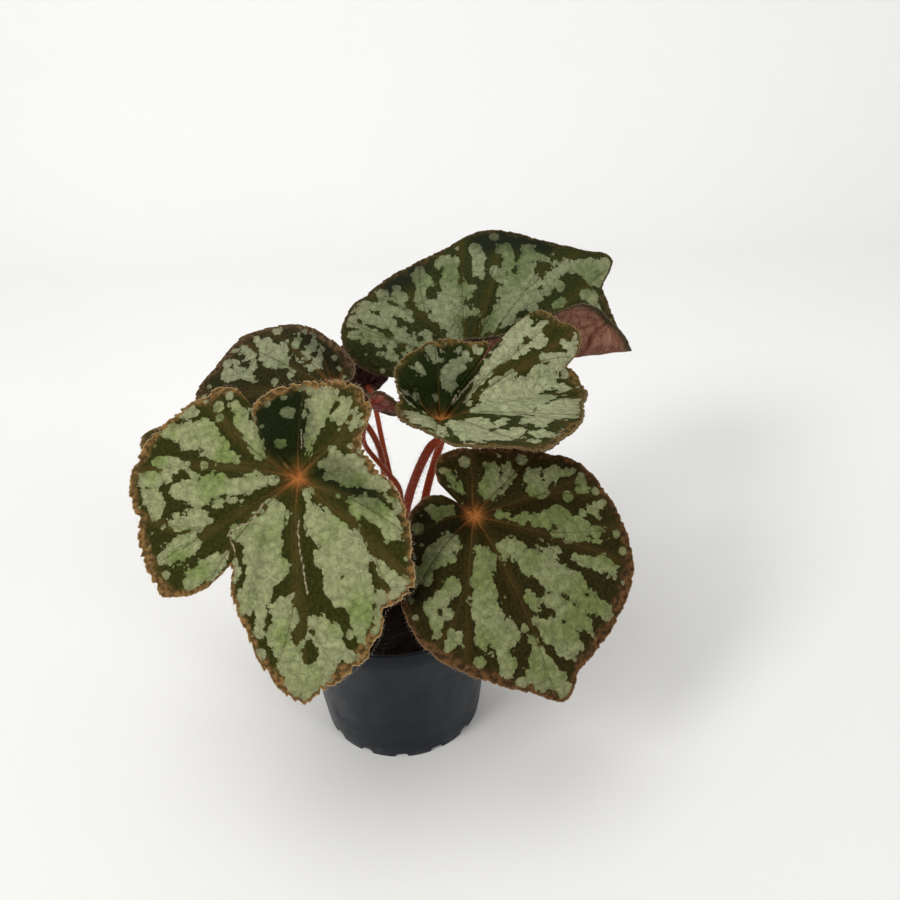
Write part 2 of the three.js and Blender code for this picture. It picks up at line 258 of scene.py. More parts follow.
def piece_of(name, points, faces):
    mesh = bpy.data.meshes.new(name)
    mesh.from_pydata(points * MM, [], faces)
    piece = bpy.data.objects.new(name, mesh)
    bpy.context.scene.collection.objects.link(piece)
    return piece


def wrapped_grid(name, around, along, place):
    """A grid primitive whose columns go round and whose rows go along the piece. `place` takes both as
    shares from 0 to 1 and gives the points in millimetres."""
    deselect_all()
    bpy.ops.mesh.primitive_grid_add(x_subdivisions=around, y_subdivisions=along, size=2)
    piece = bpy.context.object
    piece.name = piece.data.name = name
    flat = corners_of(piece)
    points = place((flat[:, 0] + 1) / 2, (flat[:, 1] + 1) / 2)
    piece.data.vertices.foreach_set("co", (points * MM).ravel())
    piece.data.update()
    return piece


def close_seams(piece):
    select_only(piece)
    bpy.ops.object.mode_set(mode="EDIT")
    bpy.ops.mesh.select_all(action="SELECT")
    bpy.ops.mesh.remove_doubles(threshold=SEAM_GAP * MM)
    bpy.ops.mesh.normals_make_consistent(inside=False)
    bpy.ops.object.mode_set(mode="OBJECT")


def lumps(points, size, seed=0.0):
    """Smooth noise from -1 to 1 whose lumps are about `size` millimetres apart."""
    return np.array([noise.noise(Vector(point) / size + Vector((seed, seed, seed))) for point in points])


def soil_top(x, y):
    low_waves = np.sin(0.31 * x + 0.7) * np.cos(0.27 * y) + 0.5 * np.sin(0.6 * (x - y))
    return SOIL_LEVEL + SOIL_LUMP * low_waves


def place_soil(around, along):
    turn = 2 * math.pi * around
    stops = [0, SOIL_TOP_SHARE, 0.82, 0.9, 1]
    radius = np.interp(along, stops, [0, SOIL_EDGE_RADIUS, SOIL_EDGE_RADIUS, SOIL_FLOOR_RADIUS, 0])
    x, y = radius * np.cos(turn), radius * np.sin(turn)
    top = soil_top(x, y)
    clods = np.column_stack((x, y, np.zeros_like(x)))
    top = top + 0.7 * lumps(clods, 4.5) + 0.4 * lumps(clods, 1.7, 9.0)
    wall = np.interp(along, stops, [SOIL_LEVEL, SOIL_LEVEL, SOIL_LEVEL - 2, SOIL_FLOOR, SOIL_FLOOR])
    z = np.where(along <= SOIL_TOP_SHARE, top, wall)
    return np.column_stack((x, y, z))


def strewn(name, model, spots):
    """Copies of one small model as a single mesh; each spot is (place, turn, scale)."""
    corners = corners_of(model)
    faces = [tuple(face.vertices) for face in model.data.polygons]
    points, all_faces = [], []
    for place, turn, scale in spots:
        first = len(points) * len(corners)
        points.append((corners * np.array(scale)) @ np.array(turn).T + np.array(place))
        all_faces.extend(tuple(corner + first for corner in face) for face in faces)
    bpy.data.objects.remove(model)
    return piece_of(name, np.concatenate(points), all_faces)


def turned(draw):
    return np.array(Euler(draw.uniform(-math.pi, math.pi, 3)).to_matrix())


soil = wrapped_grid("soil_plug", 180, 90, place_soil)
close_seams(soil)
smooth(soil, 60)

draw = np.random.default_rng(4)
deselect_all()
bpy.ops.mesh.primitive_ico_sphere_add(subdivisions=1, radius=1)
bpy.ops.object.mode_set(mode="EDIT")
bpy.ops.transform.vertex_random(offset=0.35, seed=3)
bpy.ops.object.mode_set(mode="OBJECT")
spots = []
for _ in range(CRUMBS):
    radius, turn = (SOIL_EDGE_RADIUS - 1) * math.sqrt(draw.random()), draw.uniform(0, 2 * math.pi)
    x, y = radius * math.cos(turn), radius * math.sin(turn)
    size = 0.35 + 0.9 * draw.random() ** 3
    spots.append(((x, y, float(soil_top(x, y)) + 0.25 * size), turned(draw),
                  (size, size * draw.uniform(0.5, 1), size * draw.uniform(0.35, 0.8))))
crumbs = strewn("soil_crumbs", bpy.context.object, spots)
smooth(crumbs, 25)

mix = Finish("potting_mix")
where = mix.place()
clod = mix.noise(where, 420, detail=6, rough=0.7)
fibre = mix.noise(mix.add("Mapping", {"Vector": where, "Scale": (1, 0.25, 1)}), 1500, detail=3)
earth = mix.blend(clod, (0.004, 0.003, 0.0025), (0.019, 0.013, 0.009))
flecked = mix.blend(mix.ramp(fibre, 0.62, 0.72), earth, (0.050, 0.031, 0.018))
crumbly = mix.bump(fibre, 0.25, mix.bump(clod, 0.6))
give(soil, mix.surface(flecked, 0.95, crumbly, Specular_IOR_Level=0.2))

bark = Finish("bark_crumbs")
where = bark.place()
each = bark.cells(where, 520, out="Color")
tone = bark.blend(each, (0.007, 0.005, 0.004), (0.042, 0.024, 0.013))
rough = bark.noise(where, 2400, detail=4)
chips = bark.times(tone, bark.blend(rough, (0.4, 0.4, 0.4), (1.3, 1.3, 1.3)))
give(crumbs, bark.surface(chips, 0.9, bark.bump(rough, 0.2), Specular_IOR_Level=0.25))
for piece in (soil, crumbs):
    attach(piece, "root")
    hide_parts("soil")

# ---------------------------------------------------------------------------------------------------------
# Rhizome. The plant's short creeping stem, thick and fleshy, that lies half sunk in the soil. Scars of shed
# leaves ring it, and papery brown stipules stand round the stalks.

RHIZOME_PATH = [(-17, 3, 52), (-6, 1.5, 54), (4, 1, 54.5), (14, -1.5, 52)]
RHIZOME_RADIUS = 6.2
STIPULES = 26
STIPULE = (1.9, 0.25, 5.5)  # the size of one


def smooth_path(points, steps):
    """Evenly spaced points of the round curve that passes through `points`."""
    points = [np.array(point, float) for point in points]
    points = [2 * points[0] - points[1], *points, 2 * points[-1] - points[-2]]
    route = []
    for a, b, c, d in zip(points, points[1:], points[2:], points[3:]):
        gap_ab, gap_bc, gap_cd = (math.sqrt(np.linalg.norm(q - p)) for p, q in ((a, b), (b, c), (c, d)))
        leave = ((b - a) / gap_ab - (c - a) / (gap_ab + gap_bc) + (c - b) / gap_bc) * gap_bc
        reach = ((c - b) / gap_bc - (d - b) / (gap_bc + gap_cd) + (d - c) / gap_cd) * gap_bc
        for t in np.linspace(0, 1, 40, endpoint=False):
            route.append(b + leave * t + (-3 * b + 3 * c - 2 * leave - reach) * t ** 2
                         + (2 * b - 2 * c + leave + reach) * t ** 3)
    route.append(points[-2])
    route = np.array(route)
    along = np.concatenate(([0], np.cumsum(np.linalg.norm(np.diff(route, axis=0), axis=1))))
    even = np.linspace(0, along[-1], steps)
    return np.column_stack([np.interp(even, along, route[:, axis]) for axis in range(3)]), along[-1]


def frames_along(route):
    """Unit tangent, side and up vectors at each point of a route, turned as little as possible."""
    tangents = np.gradient(route, axis=0)
    tangents /= np.linalg.norm(tangents, axis=1, keepdims=True)
    side = np.cross(tangents[0], (0.3, 1, 0.1))
    sides = []
    for tangent in tangents:
        side = side - tangent * side.dot(tangent)
        side /= np.linalg.norm(side)
        sides.append(side)
    sides = np.array(sides)
    return tangents, sides, np.cross(tangents, sides)


def tube(name, path, radius_at, around, steps):
    """A closed round stem along a path; `radius_at` takes shares along and around."""
    route, length = smooth_path(path, steps + 1)
    _, sides, ups = frames_along(route)

    def place(round_share, along_share):
        row = np.rint(along_share * steps).astype(int)
        turn = 2 * math.pi * round_share
        radius = radius_at(along_share, round_share, length)
        out = np.cos(turn)[:, None] * sides[row] + np.sin(turn)[:, None] * ups[row]
        return route[row] + radius[:, None] * out

    stem = wrapped_grid(name, around, steps, place)
    close_seams(stem)
    smooth(stem, 60)
    return stem, route


def rhizome_radius(along, around, length):
    rounded = np.sqrt(np.clip(1 - np.abs(2 * along - 1) ** 5, 0, 1))
    scars = 0.28 * np.abs(np.sin(length * along * 0.9 + np.sin(2 * math.pi * around)))
    return rounded * (RHIZOME_RADIUS - 0.15 - scars + 0.2 * np.sin(4 * math.pi * around + 9 * along))


def hair_mesh(name, roots, ways, lengths, thick, bend, draw):
    """Short tapered hairs as one mesh: a three-sided spike of two joints for each root."""
    count = len(roots)
    ways = ways / np.linalg.norm(ways, axis=1, keepdims=True)
    other = np.where(np.abs(ways[:, 2:3]) < 0.9, (0, 0, 1), (1, 0, 0))
    across = np.cross(ways, other)
    across /= np.linalg.norm(across, axis=1, keepdims=True)
    third = np.cross(ways, across)
    lean = draw.normal(0, bend, (count, 1)) * across + draw.normal(0, bend, (count, 1)) * third
    rings = []
    for share, width in ((0, 1), (0.55, 0.62)):
        centre = roots + lengths[:, None] * (share * ways + share ** 2 * lean)
        for corner in range(3):
            turn = 2 * math.pi * corner / 3
            rings.append(centre + thick * width * (math.cos(turn) * across + math.sin(turn) * third))
    rings.append(roots + lengths[:, None] * (ways + lean))
    points = np.stack(rings, axis=1).reshape(-1, 3)
    one = [(0, 2, 1)]
    for a, b in ((0, 1), (1, 2), (2, 0)):
        one += [(a, b, b + 3, a + 3), (a + 3, b + 3, 6)]
    faces = [tuple(corner + 7 * hair for corner in face) for hair in range(count) for face in one]
    return piece_of(name, points, faces)


rhizome, _ = tube("rhizome_stem", RHIZOME_PATH, rhizome_radius, 64, 110)

draw = np.random.default_rng(11)
deselect_all()
bpy.ops.mesh.primitive_cone_add(vertices=7, radius1=1, radius2=0, depth=1, location=(0, 0, 0.5))
bpy.ops.object.transform_apply(location=True, rotation=False, scale=False)
bpy.ops.object.mode_set(mode="EDIT")
bpy.ops.mesh.subdivide(number_cuts=1, smoothness=0.6)
bpy.ops.object.mode_set(mode="OBJECT")
route, _ = smooth_path(RHIZOME_PATH, 60)
spots = []
for _ in range(STIPULES):
    at = route[int(draw.uniform(4, 56))]
    turn = draw.uniform(0.15, 0.85) * math.pi
    out = Vector((0.15 * math.cos(turn), math.cos(turn), math.sin(turn))).normalized()
    lean = (out + 0.5 * Vector((draw.uniform(-1, 1), draw.uniform(-0.5, 0.5), 0.4))).normalized()
    spots.append((at + np.array(out) * (RHIZOME_RADIUS - 0.9),
                  lean.to_track_quat("Z", "Y").to_matrix(), np.array(STIPULE) * draw.uniform(0.6, 1.1)))
stipules = strewn("rhizome_stipules", bpy.context.object, spots)
smooth(stipules, 40)

stem = Finish("rhizome_skin")
where = stem.place()
mottle = stem.noise(where, 330, detail=6, rough=0.65)
skin = stem.blend(mottle, (0.055, 0.028, 0.014), (0.20, 0.11, 0.055))
redder = stem.blend(stem.ramp(stem.noise(where, 90), 0.5, 0.65), skin, (0.16, 0.042, 0.025))
give(rhizome, stem.surface(redder, 0.72, stem.bump(mottle, 0.5), Specular_IOR_Level=0.35))
paper = Finish("papery_stipules")
where = paper.place()
streak = paper.noise(paper.add("Mapping", {"Vector": where, "Scale": (1, 1, 0.3)}), 900, detail=4)
straw = paper.blend(streak, (0.10, 0.045, 0.022), (0.36, 0.22, 0.12))
give(stipules, paper.surface(straw, 0.8, paper.bump(streak, 0.2), Specular_IOR_Level=0.25))
for piece in (rhizome, stipules):
    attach(piece, "root")
    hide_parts("rhizome")

# ---------------------------------------------------------------------------------------------------------
# Leaves. Eight soft blades, each lopsided and heart-shaped, with waved and finely toothed edges. Main veins
# spread from the star over the stalk, and the blade puffs up between them. The upper face is dark olive with
# silver-green patches that stand apart along the veins; the lower face is red, with raised veins.
#
# `at` is the point over the top of the stalk. The midrib points along `heading`, seen from above and counted
# from +X, and falls by `droop`; `roll` turns the blade about its midrib. `margin` walks once round the edge
# as (degrees from the midrib, mm from the stalk), with the slot between the basal lobes at `slot`. `dome`,
# `wave` and `lobe_lift` bend the blade, `stand` lifts its basal lobes and `fold_right` folds its right half,
# in degrees. The blade puffs up between the angles in `ribs`. The stalk grows from `root` through `via`.
#
# A patch is a chain of (degrees, mm, half width), and `fuller` widens them all. `deep` holds such chains
# where shade is painted on the blade: there the dark base and the patches are darkened towards the leaf's
# `shadow` colour. `scars` hold scratches as chains of (degrees, mm). A vein is (degrees at its start,
# degrees at the edge, share of the way at which it starts); `veined` and `beside` say how much the veins and
# the brown along them show. `band` is the width of the brown margin and `tooth` the depth of its teeth.
# `pads` and `under_veins` are the colours of the lower face.

BLADE_THICKNESS = 0.7
STAR_DEPTH = 3
STAR_WIDTH = 8
RIB_PUFF = 1.3
LARGE_TOOTH = 4.3
SMALL_TOOTH = 1.75
TEETH_FROM = 0.86  # share of the way to the edge
LOBE_SPAN = 22  # degrees on either side of the slot
VEIN_END = 0.96  # share of the way to the edge
LOOSE_SPOTS = 90
SPOT_GAP = 1.3
LARGEST_DOT = 2
PATCH_SWELL = 1.6
PEBBLES = 0.5  # per mm, as are the next three
SMALL_PEBBLES = 1.35
NET = 0.34
LOBES = 0.74


def leaf_of(**own):
    """One leaf: its own values, and the usual ones for the rest."""
    usual = dict(
        lobe_sweep=0, waves=4, wave_phase=0, stand=0, fold_right=0, deep=[], scars=[], patches=[], fuller=0.12,
        beside=0.9, pads=((0.140, 0.054, 0.032), (0.35, 0.185, 0.115)), under_veins=(0.13, 0.032, 0.020),
    )
    return {**usual, **own}


LEAVES = [
    leaf_of(
        name="front_left", at=(-25, -30, 128), heading=-90, droop=48, roll=8,
        margin=[
            (-168, 31), (-145, 34), (-131, 32), (-113, 23), (-95, 25), (-80, 32), (-56, 43), (-44, 50),
            (-34, 49), (-26, 55), (-17, 60), (-5, 65), (0, 68), (10, 60), (21, 48), (30, 42), (39, 34),
            (42, 44), (54, 57), (70, 56), (79, 54), (89, 56), (105, 53), (117, 48), (131, 43), (146, 37),
            (150, 4), (154, 24), (165, 28),
        ],
        slot=150, lobe_sweep=8, lobe_lift=3, dome=4, wave=1, waves=5,
        ribs=[-175, -122, -85, -48, 0, 40, 62, 98, 130], grid=(520, 50),
        veins=[
            (-176, -174, 0), (-132, -122, 0), (-60, -78, 0), (-50, -46, 0), (0, 0, 0), (0, 9, 0.45),
            (0, -12, 0.5), (50, 42, 0), (58, 63, 0), (60, 82, 0.5), (108, 94, 0), (119, 133, 0),
            (-51, -34, 0.45), (-66, -60, 0.5), (-127, -142, 0.5), (-127, -110, 0.5),
        ],
        deep=[[(172, 15, 9), (172, 26, 7)], [(-95, 12, 5), (-70, 26, 3)], [(30, 20, 0.6), (21, 37, 0.6)]],
        scars=[
            [(52, 13), (46, 19), (52, 27), (45, 29), (40, 31)], [(-1, 14), (-1, 21), (-3, 29), (-4, 36)],
            [(-174, 14), (-169, 8)],
        ],
        root=(-8.5, -0.5), via=[(-13, -4, 86)], stalk_radius=1.8,
        dark=(0.026, 0.027, 0.004), brown=(0.062, 0.046, 0.010), shadow=(0.006, 0.010, 0.002),
        margin_tone=(0.155, 0.092, 0.034), edge_tone=(0.36, 0.25, 0.12), band=3.0, tooth=1.5,
        veined=0.9, beside=0.75, fuller=0.37,
        silver=(0.265, 0.282, 0.138), green=(0.175, 0.220, 0.068), green_share=0.45,
        patches=[
            [(110, 47, 2), (114, 40, 4), (116, 34, 4.5), (111, 26, 4), (107, 20, 1.5)], [(120, 37, 1.5)],
            [(122, 43, 3)], [(133, 35, 2)], [(141, 35, 1.5)], [(129, 32, 1.5)],
            [(140, 31, 2), (139, 26, 3.5), (125, 13, 1.5)],
            [(100, 46, 1.5), (99, 42, 2.5), (98, 36, 2), (95, 34, 1)], [(100, 30, 1.5)],
            [(92, 51, 2), (92, 47, 3), (92, 41, 1.5)],
            [(88, 50, 1.5), (87, 47, 3), (82, 46, 3), (79, 47, 1.5)],
            [(87, 38, 3.5), (84, 31, 4.5), (86, 24, 3.5), (84, 18, 3), (85, 11, 2.5), (84, 7, 1)],
            [(73, 46, 1.5), (73, 41, 3), (70, 34, 3.5), (69, 31, 2)], [(75, 25, 2), (73, 20, 1.5)],
            [(52, 24, 1.5)], [(64, 50, 2.5), (63, 45, 4.5), (61, 40, 4)],
            [(50, 47, 2), (49, 43, 3.5), (47, 38, 4), (45, 33, 2)], [(57, 51, 1.5)],
            [(37, 10, 2), (28, 13, 4), (31, 20, 6.5), (19, 29, 6.5), (21, 34, 5), (19, 39, 5), (15, 43, 2.5)],
            [(39, 23, 3), (48, 25, 2)], [(39, 31, 1), (23, 43, 1)],
            [(3, 36, 1.5), (6, 39, 3.5), (7, 49, 3.5), (2, 57, 3.5)],
            [(-8, 44, 2.5), (-11, 48, 4), (-11, 52, 4), (-9, 56, 3.5), (-4, 59, 4)],
            [(-3, 48, 2), (0, 51, 1)], [(1, 58, 4), (0, 61, 5), (-1, 64, 3.5), (0, 66, 1.5)],
            [(16, 46, 1.5), (15, 48, 1.5)], [(13, 54, 2)], [(-15, 56, 2), (-18, 57, 2)],
            [(-30, 12, 2), (-27, 16, 4.5), (-35, 28, 5.5), (-28, 42, 4.5), (-24, 46, 4.5), (-20, 53, 2)],
            [(-15, 15, 1.5)], [(-16, 27, 2)], [(-18, 50, 1.5)], [(-21, 26, 3.5), (-20, 35, 4), (-22, 40, 4)],
            [(-44, 37, 1), (-40, 41, 2), (-43, 46, 2.5), (-41, 48, 2.5)],
            [(-35, 44, 2.5), (-32, 47, 3), (-29, 50, 2)], [(-26, 52, 1.5)],
            [(-66, 20, 1.5), (-64, 23, 3.5), (-63, 32, 3.5), (-58, 35, 2.5), (-57, 38, 1)],
            [(-74, 31, 1.5), (-69, 33, 1.5)],
            [(-121, 14, 1.5), (-103, 13, 3.5), (-91, 17, 4.5), (-86, 21, 3), (-80, 23, 1.5)],
            [(-111, 9, 1.5)], [(-104, 19, 1.5)], [(-87, 10, 1.5)], [(-86, 24, 2), (-79, 27, 2), (-76, 29, 1)],
            [(-108, 22, 1.5)], [(-160, 28, 2.5), (-161, 24, 4.5), (-152, 9, 1)],
            [(-144, 26, 2.5), (-141, 23, 3), (-138, 21, 1.5)], [(-132, 26, 2), (-127, 24, 1.5)],
            [(176, 20, 2)], [(161, 11, 1.5)], [(-176, 28, 1.5)], [(-170, 27, 1.5)],
            [(-37, 6, 1.5), (-30, 8, 1.5)],
        ],
    ),
    leaf_of(
        name="front_right", at=(29.5, -30, 111.5), heading=-56, droop=42, roll=14,
        margin=[
            (-149, 22), (-130, 25), (-106, 32), (-91, 40), (-75, 45), (-57, 52), (-45, 56), (-24, 57),
            (-10, 58), (0, 64), (6, 59), (13, 55), (29, 49), (44, 45), (64, 37), (79, 30), (95, 25),
            (111, 22), (134, 17), (147, 12), (154, 5), (158, 16), (177, 22),
        ],
        slot=154, lobe_lift=1.5, dome=5, wave=1, wave_phase=40,
        ribs=[-160, -118, -83, -48, 0, 38, 80, 115], grid=(480, 48),
        veins=[
            (-160, -158, 0), (-112, -108, 0), (-80, -84, 0), (-50, -48, 0), (-4, 2, 0), (-2, -12, 0.55),
            (36, 30, 0), (76, 62, 0), (113, 92, 0), (-52, -62, 0.45), (-82, -72, 0.5), (-110, -124, 0.5),
            (35, 44, 0.5), (150, 146, 0),
        ],
        deep=[[(110, 4, 5), (95, 18, 9), (75, 30, 9)]],
        root=(9, -3.5), via=[(15, -10, 84)], stalk_radius=1.6,
        dark=(0.020, 0.016, 0.003), brown=(0.040, 0.025, 0.006), shadow=(0.007, 0.006, 0.001),
        margin_tone=(0.082, 0.042, 0.018), edge_tone=(0.20, 0.115, 0.055), band=2.3, tooth=0.7,
        veined=0.55, beside=0.8, fuller=0.37,
        silver=(0.205, 0.222, 0.104), green=(0.142, 0.168, 0.056), green_share=0.7,
        patches=[
            [(-165, 17, 2)], [(-113, 24, 2)], [(171, 16, 1.5), (176, 9, 1.5)],
            [(-134, 15, 2.5), (-125, 10, 3.5), (-114, 8, 2)], [(-116, 18, 2.5), (-110, 13, 1.5)],
            [(-96, 23, 3.5), (-88, 22, 3.5)], [(-94, 27, 2.5), (-90, 34, 1.5)], [(-81, 37, 2.5)],
            [(-76, 31, 2)], [(-76, 41, 1.5)], [(-68, 39, 2.5), (-70, 42, 1)], [(-66, 35, 1.5)],
            [(-67, 8, 1), (-64, 10, 1)], [(-61, 13, 1), (-59, 19, 2), (-63, 27, 3.5)],
            [(-57, 30, 4.5), (-56, 42, 1.5)], [(-50, 31, 1.5)], [(-58, 47, 1.5)], [(-52, 50, 1.5)],
            [(-42, 36, 2), (-44, 42, 2.5), (-44, 48, 2.5)], [(118, 13, 2), (119, 9, 2)], [(101, 19, 2)],
            [(70, 12, 3), (67, 17, 4), (70, 22, 3), (67, 26, 2.5)], [(55, 16, 1.5)],
            [(45, 24, 3), (49, 27, 3), (51, 32, 2.5), (45, 38, 1.5)], [(42, 32, 2)],
            [(36, 39, 2.5), (38, 42, 1.5)], [(18, 12, 2), (14, 16, 3), (25, 21, 3.5)],
            [(21, 25, 4.5), (19, 36, 5.5)], [(16, 40, 4.5), (15, 49, 2)], [(9, 35, 3), (9, 39, 1.5)],
            [(25, 45, 2)], [(-11, 14, 2.5), (-24, 16, 3)], [(-23, 22, 4.5), (-29, 27, 4.5)], [(-38, 27, 2.5)],
            [(-27, 31, 6), (-29, 38, 5), (-30, 41, 3)],
            [(-7, 31, 2), (-17, 38, 3.5), (-19, 44, 4), (-20, 49, 3), (-19, 54, 1.5)],
            [(-29, 46, 3.5), (-28, 52, 2.5)], [(-5, 39, 2.5), (-9, 44, 4.5), (-11, 50, 4)], [(2, 42, 1.5)],
            [(2, 48, 4), (1, 52, 5)], [(6, 52, 3), (-1, 56, 4), (-1, 59, 3.5)], [(11, 53, 2)], [(3, 38, 1.5)],
        ],
    ),
    leaf_of(
        name="centre", at=(19.5, 0, 131.5), heading=-75, droop=-12, roll=0,
        margin=[
            (-178, 26), (-159, 28), (-145, 29), (-134, 33), (-131, 5), (-129, 45), (-126, 54), (-118, 57),
            (-111, 60), (-105, 56), (-101, 50), (-97, 52), (-81, 50), (-66, 47), (-50, 49), (-32, 50),
            (-21, 52), (-14, 43), (1, 37), (8, 36), (21, 29), (42, 22), (80, 16), (115, 15), (143, 21),
            (168, 24),
        ],
        slot=-131, lobe_lift=2, dome=0, wave=0.6, stand=50, fold_right=12,
        ribs=[-170, -120, -88, -55, -21, 20, 80, 140], grid=(480, 46),
        veins=[
            (-168, -172, 0), (-118, -119, 0), (-108, -112, 0), (-84, -88, 0), (-60, -55, 0), (-16, -22, 0),
            (20, 18, 0), (80, 80, 0), (140, 146, 0), (-110, -103, 0.5), (-86, -74, 0.5), (-57, -42, 0.5),
            (-169, -156, 0.4),
        ],
        deep=[[(-150, 7, 8), (-165, 18, 9)], [(150, 12, 8)]],
        scars=[
            [(-134, 5), (-126, 12), (-125, 18), (-128, 33), (-130, 44)], [(122, 16), (113, 12), (102, 9)],
        ],
        root=(2.5, -0.5), via=[(6.5, -0.5, 95), (15.5, -2, 119)], stalk_radius=1.8,
        dark=(0.026, 0.030, 0.005), brown=(0.055, 0.040, 0.009), shadow=(0.007, 0.013, 0.002),
        margin_tone=(0.100, 0.065, 0.022), edge_tone=(0.24, 0.17, 0.07), band=1.8, tooth=1.1,
        veined=0.8, fuller=0.27,
        silver=(0.315, 0.335, 0.185), green=(0.235, 0.275, 0.135), green_share=0.25,
        patches=[
            [(-176, 23, 2.5), (-171, 20, 2), (-165, 19, 1.5)], [(166, 17, 2), (168, 15, 1.5)],
            [(131, 14, 1), (140, 10, 1)], [(-147, 24, 2), (-142, 22, 1.5), (-154, 15, 3.5), (-151, 12, 3)],
            [(-140, 27, 1.5), (-137, 27, 1.5)],
            [(-102, 10, 1), (-114, 12, 1), (-119, 16, 1), (-124, 29, 2.5), (-122, 33, 3), (-127, 42, 3),
             (-126, 45, 2.5)], [(-118, 34, 2)], [(-123, 43, 1.5)],
            [(-121, 50, 2), (-119, 47, 2.5), (-116, 45, 3), (-115, 41, 1.5)],
            [(-117, 38, 1.5), (-114, 36, 1.5)], [(-111, 58, 1), (-109, 56, 1.5)],
            [(-110, 52, 1.5), (-106, 52, 2), (-104, 49, 2.5), (-103, 42, 1)], [(-109, 43, 1), (-107, 41, 1)],
            [(-104, 36, 2.5), (-102, 40, 2.5), (-98, 42, 2)], [(-101, 30, 4), (-98, 34, 5), (-97, 36, 4)],
            [(-88, 25, 10.5), (-87, 25, 14)], [(-102, 25, 2.5)], [(-63, 22, 7), (-60, 24, 5.5), (-47, 22, 2)],
            [(-99, 18, 2), (-60, 14, 4)], [(-51, 12, 1), (-66, 11, 1)], [(-99, 47, 1.5)],
            [(-89, 43, 2), (-95, 45, 2)], [(-55, 38, 6.5), (-59, 39, 8), (-63, 42, 8), (-63, 43, 4)],
            [(-44, 36, 5), (-43, 36, 5)], [(-50, 30, 1.5), (-59, 29, 1.5)], [(-41, 33, 2.5)],
            [(-6, 18, 4), (-11, 19, 6.5), (-12, 24, 6), (-15, 26, 3.5)],
            [(-4, 27, 4.5), (-7, 30, 5.5), (-16, 32, 4), (-21, 36, 4), (-24, 36, 4)],
            [(-19, 24, 1), (-28, 21, 1)], [(-34, 26, 1.5), (-27, 27, 1.5)],
            [(-2, 34, 1.5), (-3, 35, 2.5), (-6, 35, 1.5)], [(-30, 40, 1.5), (-30, 42, 2.5), (-32, 43, 3)],
            [(-23, 44, 1.5), (-24, 45, 1)], [(-34, 47, 1), (-39, 45, 1)], [(-56, 46, 1), (-59, 46, 1)],
            [(74, 10, 3.5), (60, 10, 5), (31, 17, 5), (21, 19, 3.5), (15, 23, 2.5)],
            [(19, 29, 3), (18, 29, 3)],
        ],
    ),
    leaf_of(
        name="back", at=(29, 40.5, 126), heading=8, droop=-7, roll=43,
        margin=[
            (-170, 33), (-161, 43), (-148, 50), (-137, 51), (-126, 49), (-107, 49), (-89, 51), (-69, 60),
            (-50, 63), (-38, 68.5), (-28, 76), (-21, 64), (-14, 62), (-6, 61), (2, 63), (12, 56), (20, 54),
            (29, 50), (35, 34), (48, 21), (70, 16), (130, 15), (165, 13), (178, 5),
        ],
        slot=178, lobe_lift=2, dome=3, wave=0.8, waves=5, wave_phase=60, fold_right=115,
        ribs=[-142, -111, -78, -50, -27, 0, 35, 110], grid=(500, 50),
        veins=[
            (-165, -166, 0), (-144, -143, 0), (-112, -111, 0), (-80, -79, 0), (-60, -64, 0), (-40, -44, 0),
            (-20, -26, 0), (0, 0, 0), (35, 40, 0), (110, 118, 0), (-113, -128, 0.45), (-112, -98, 0.5),
            (-142, -150, 0.5), (-42, -36, 0.6), (1, 14, 0.5), (38, 60, 0.4), (2, -12, 0.5),
        ],
        deep=[[(-115, 46, 6), (-100, 48, 5)], [(-70, 54, 5), (-58, 60, 6), (-48, 62, 5)]],
        root=(8, 2), via=[(12.4, 12, 88), (19, 25, 104.5)], stalk_radius=1.6,
        dark=(0.024, 0.029, 0.007), brown=(0.040, 0.036, 0.008), shadow=(0.011, 0.014, 0.007),
        margin_tone=(0.055, 0.038, 0.016), edge_tone=(0.13, 0.085, 0.045), band=0.6, tooth=0.5,
        veined=0.6, fuller=0.77,
        silver=(0.218, 0.238, 0.128), green=(0.140, 0.172, 0.070), green_share=0.55,
        patches=[
            [(-132, 49, 1), (-128, 40, 2.5), (-125, 34, 2.5), (-122, 31, 1.5)],
            [(-138, 50, 1), (-136, 46, 1)],
            [(-142, 50, 1), (-139, 47, 1), (-137, 43, 1.5), (-135, 33, 3), (-137, 28, 3), (-138, 20, 1)],
            [(-143, 47, 1), (-145, 34, 2), (-146, 30, 1.5)], [(-124, 45, 1.5), (-121, 44, 0.5)],
            [(-121, 41, 1.5), (-116, 41, 2), (-115, 38, 2)], [(-121, 39, 1), (-120, 36, 1)],
            [(-101, 43, 2.5), (-101, 40, 2.5), (-104, 36, 2.5), (-107, 34, 1.5)],
            [(-110, 32, 1.5), (-107, 30, 1)], [(-96, 37, 1), (-96, 34, 1.5)], [(-146, 43, 1), (-148, 45, 1)],
            [(-150, 40, 1.5)], [(-158, 32, 1), (-157, 29, 1.5), (-161, 25, 1)],
            [(-148, 24, 1), (-148, 22, 0.5)], [(-125, 19, 1.5), (-124, 21, 1)],
            [(-88, 46, 2.5), (-85, 44, 3), (-85, 40, 3.5), (-87, 36, 4), (-87, 31, 4)],
            [(-76, 32, 2.5), (-79, 31, 3)], [(-103, 29, 2.5), (-99, 26, 4.5), (-87, 24, 4.5), (-79, 25, 2)],
            [(-93, 19, 3.5), (-92, 16, 2.5), (94, 17, 1.5)], [(-101, 20, 2)],
            [(-73, 50, 2), (-71, 48, 2.5), (-70, 40, 2), (-69, 39, 1)], [(-66, 57, 2)],
            [(-60, 52, 2.5), (-57, 46, 1.5)], [(-72, 23, 1), (-66, 23, 0.5)],
            [(-52, 57, 2), (-50, 54, 3), (-45, 56, 1.5)],
            [(-49, 49, 3), (-45, 45, 4), (-42, 41, 5), (-36, 40, 3.5)],
            [(-58, 41, 3), (-53, 40, 4), (-48, 37, 5)], [(-62, 42, 1.5)],
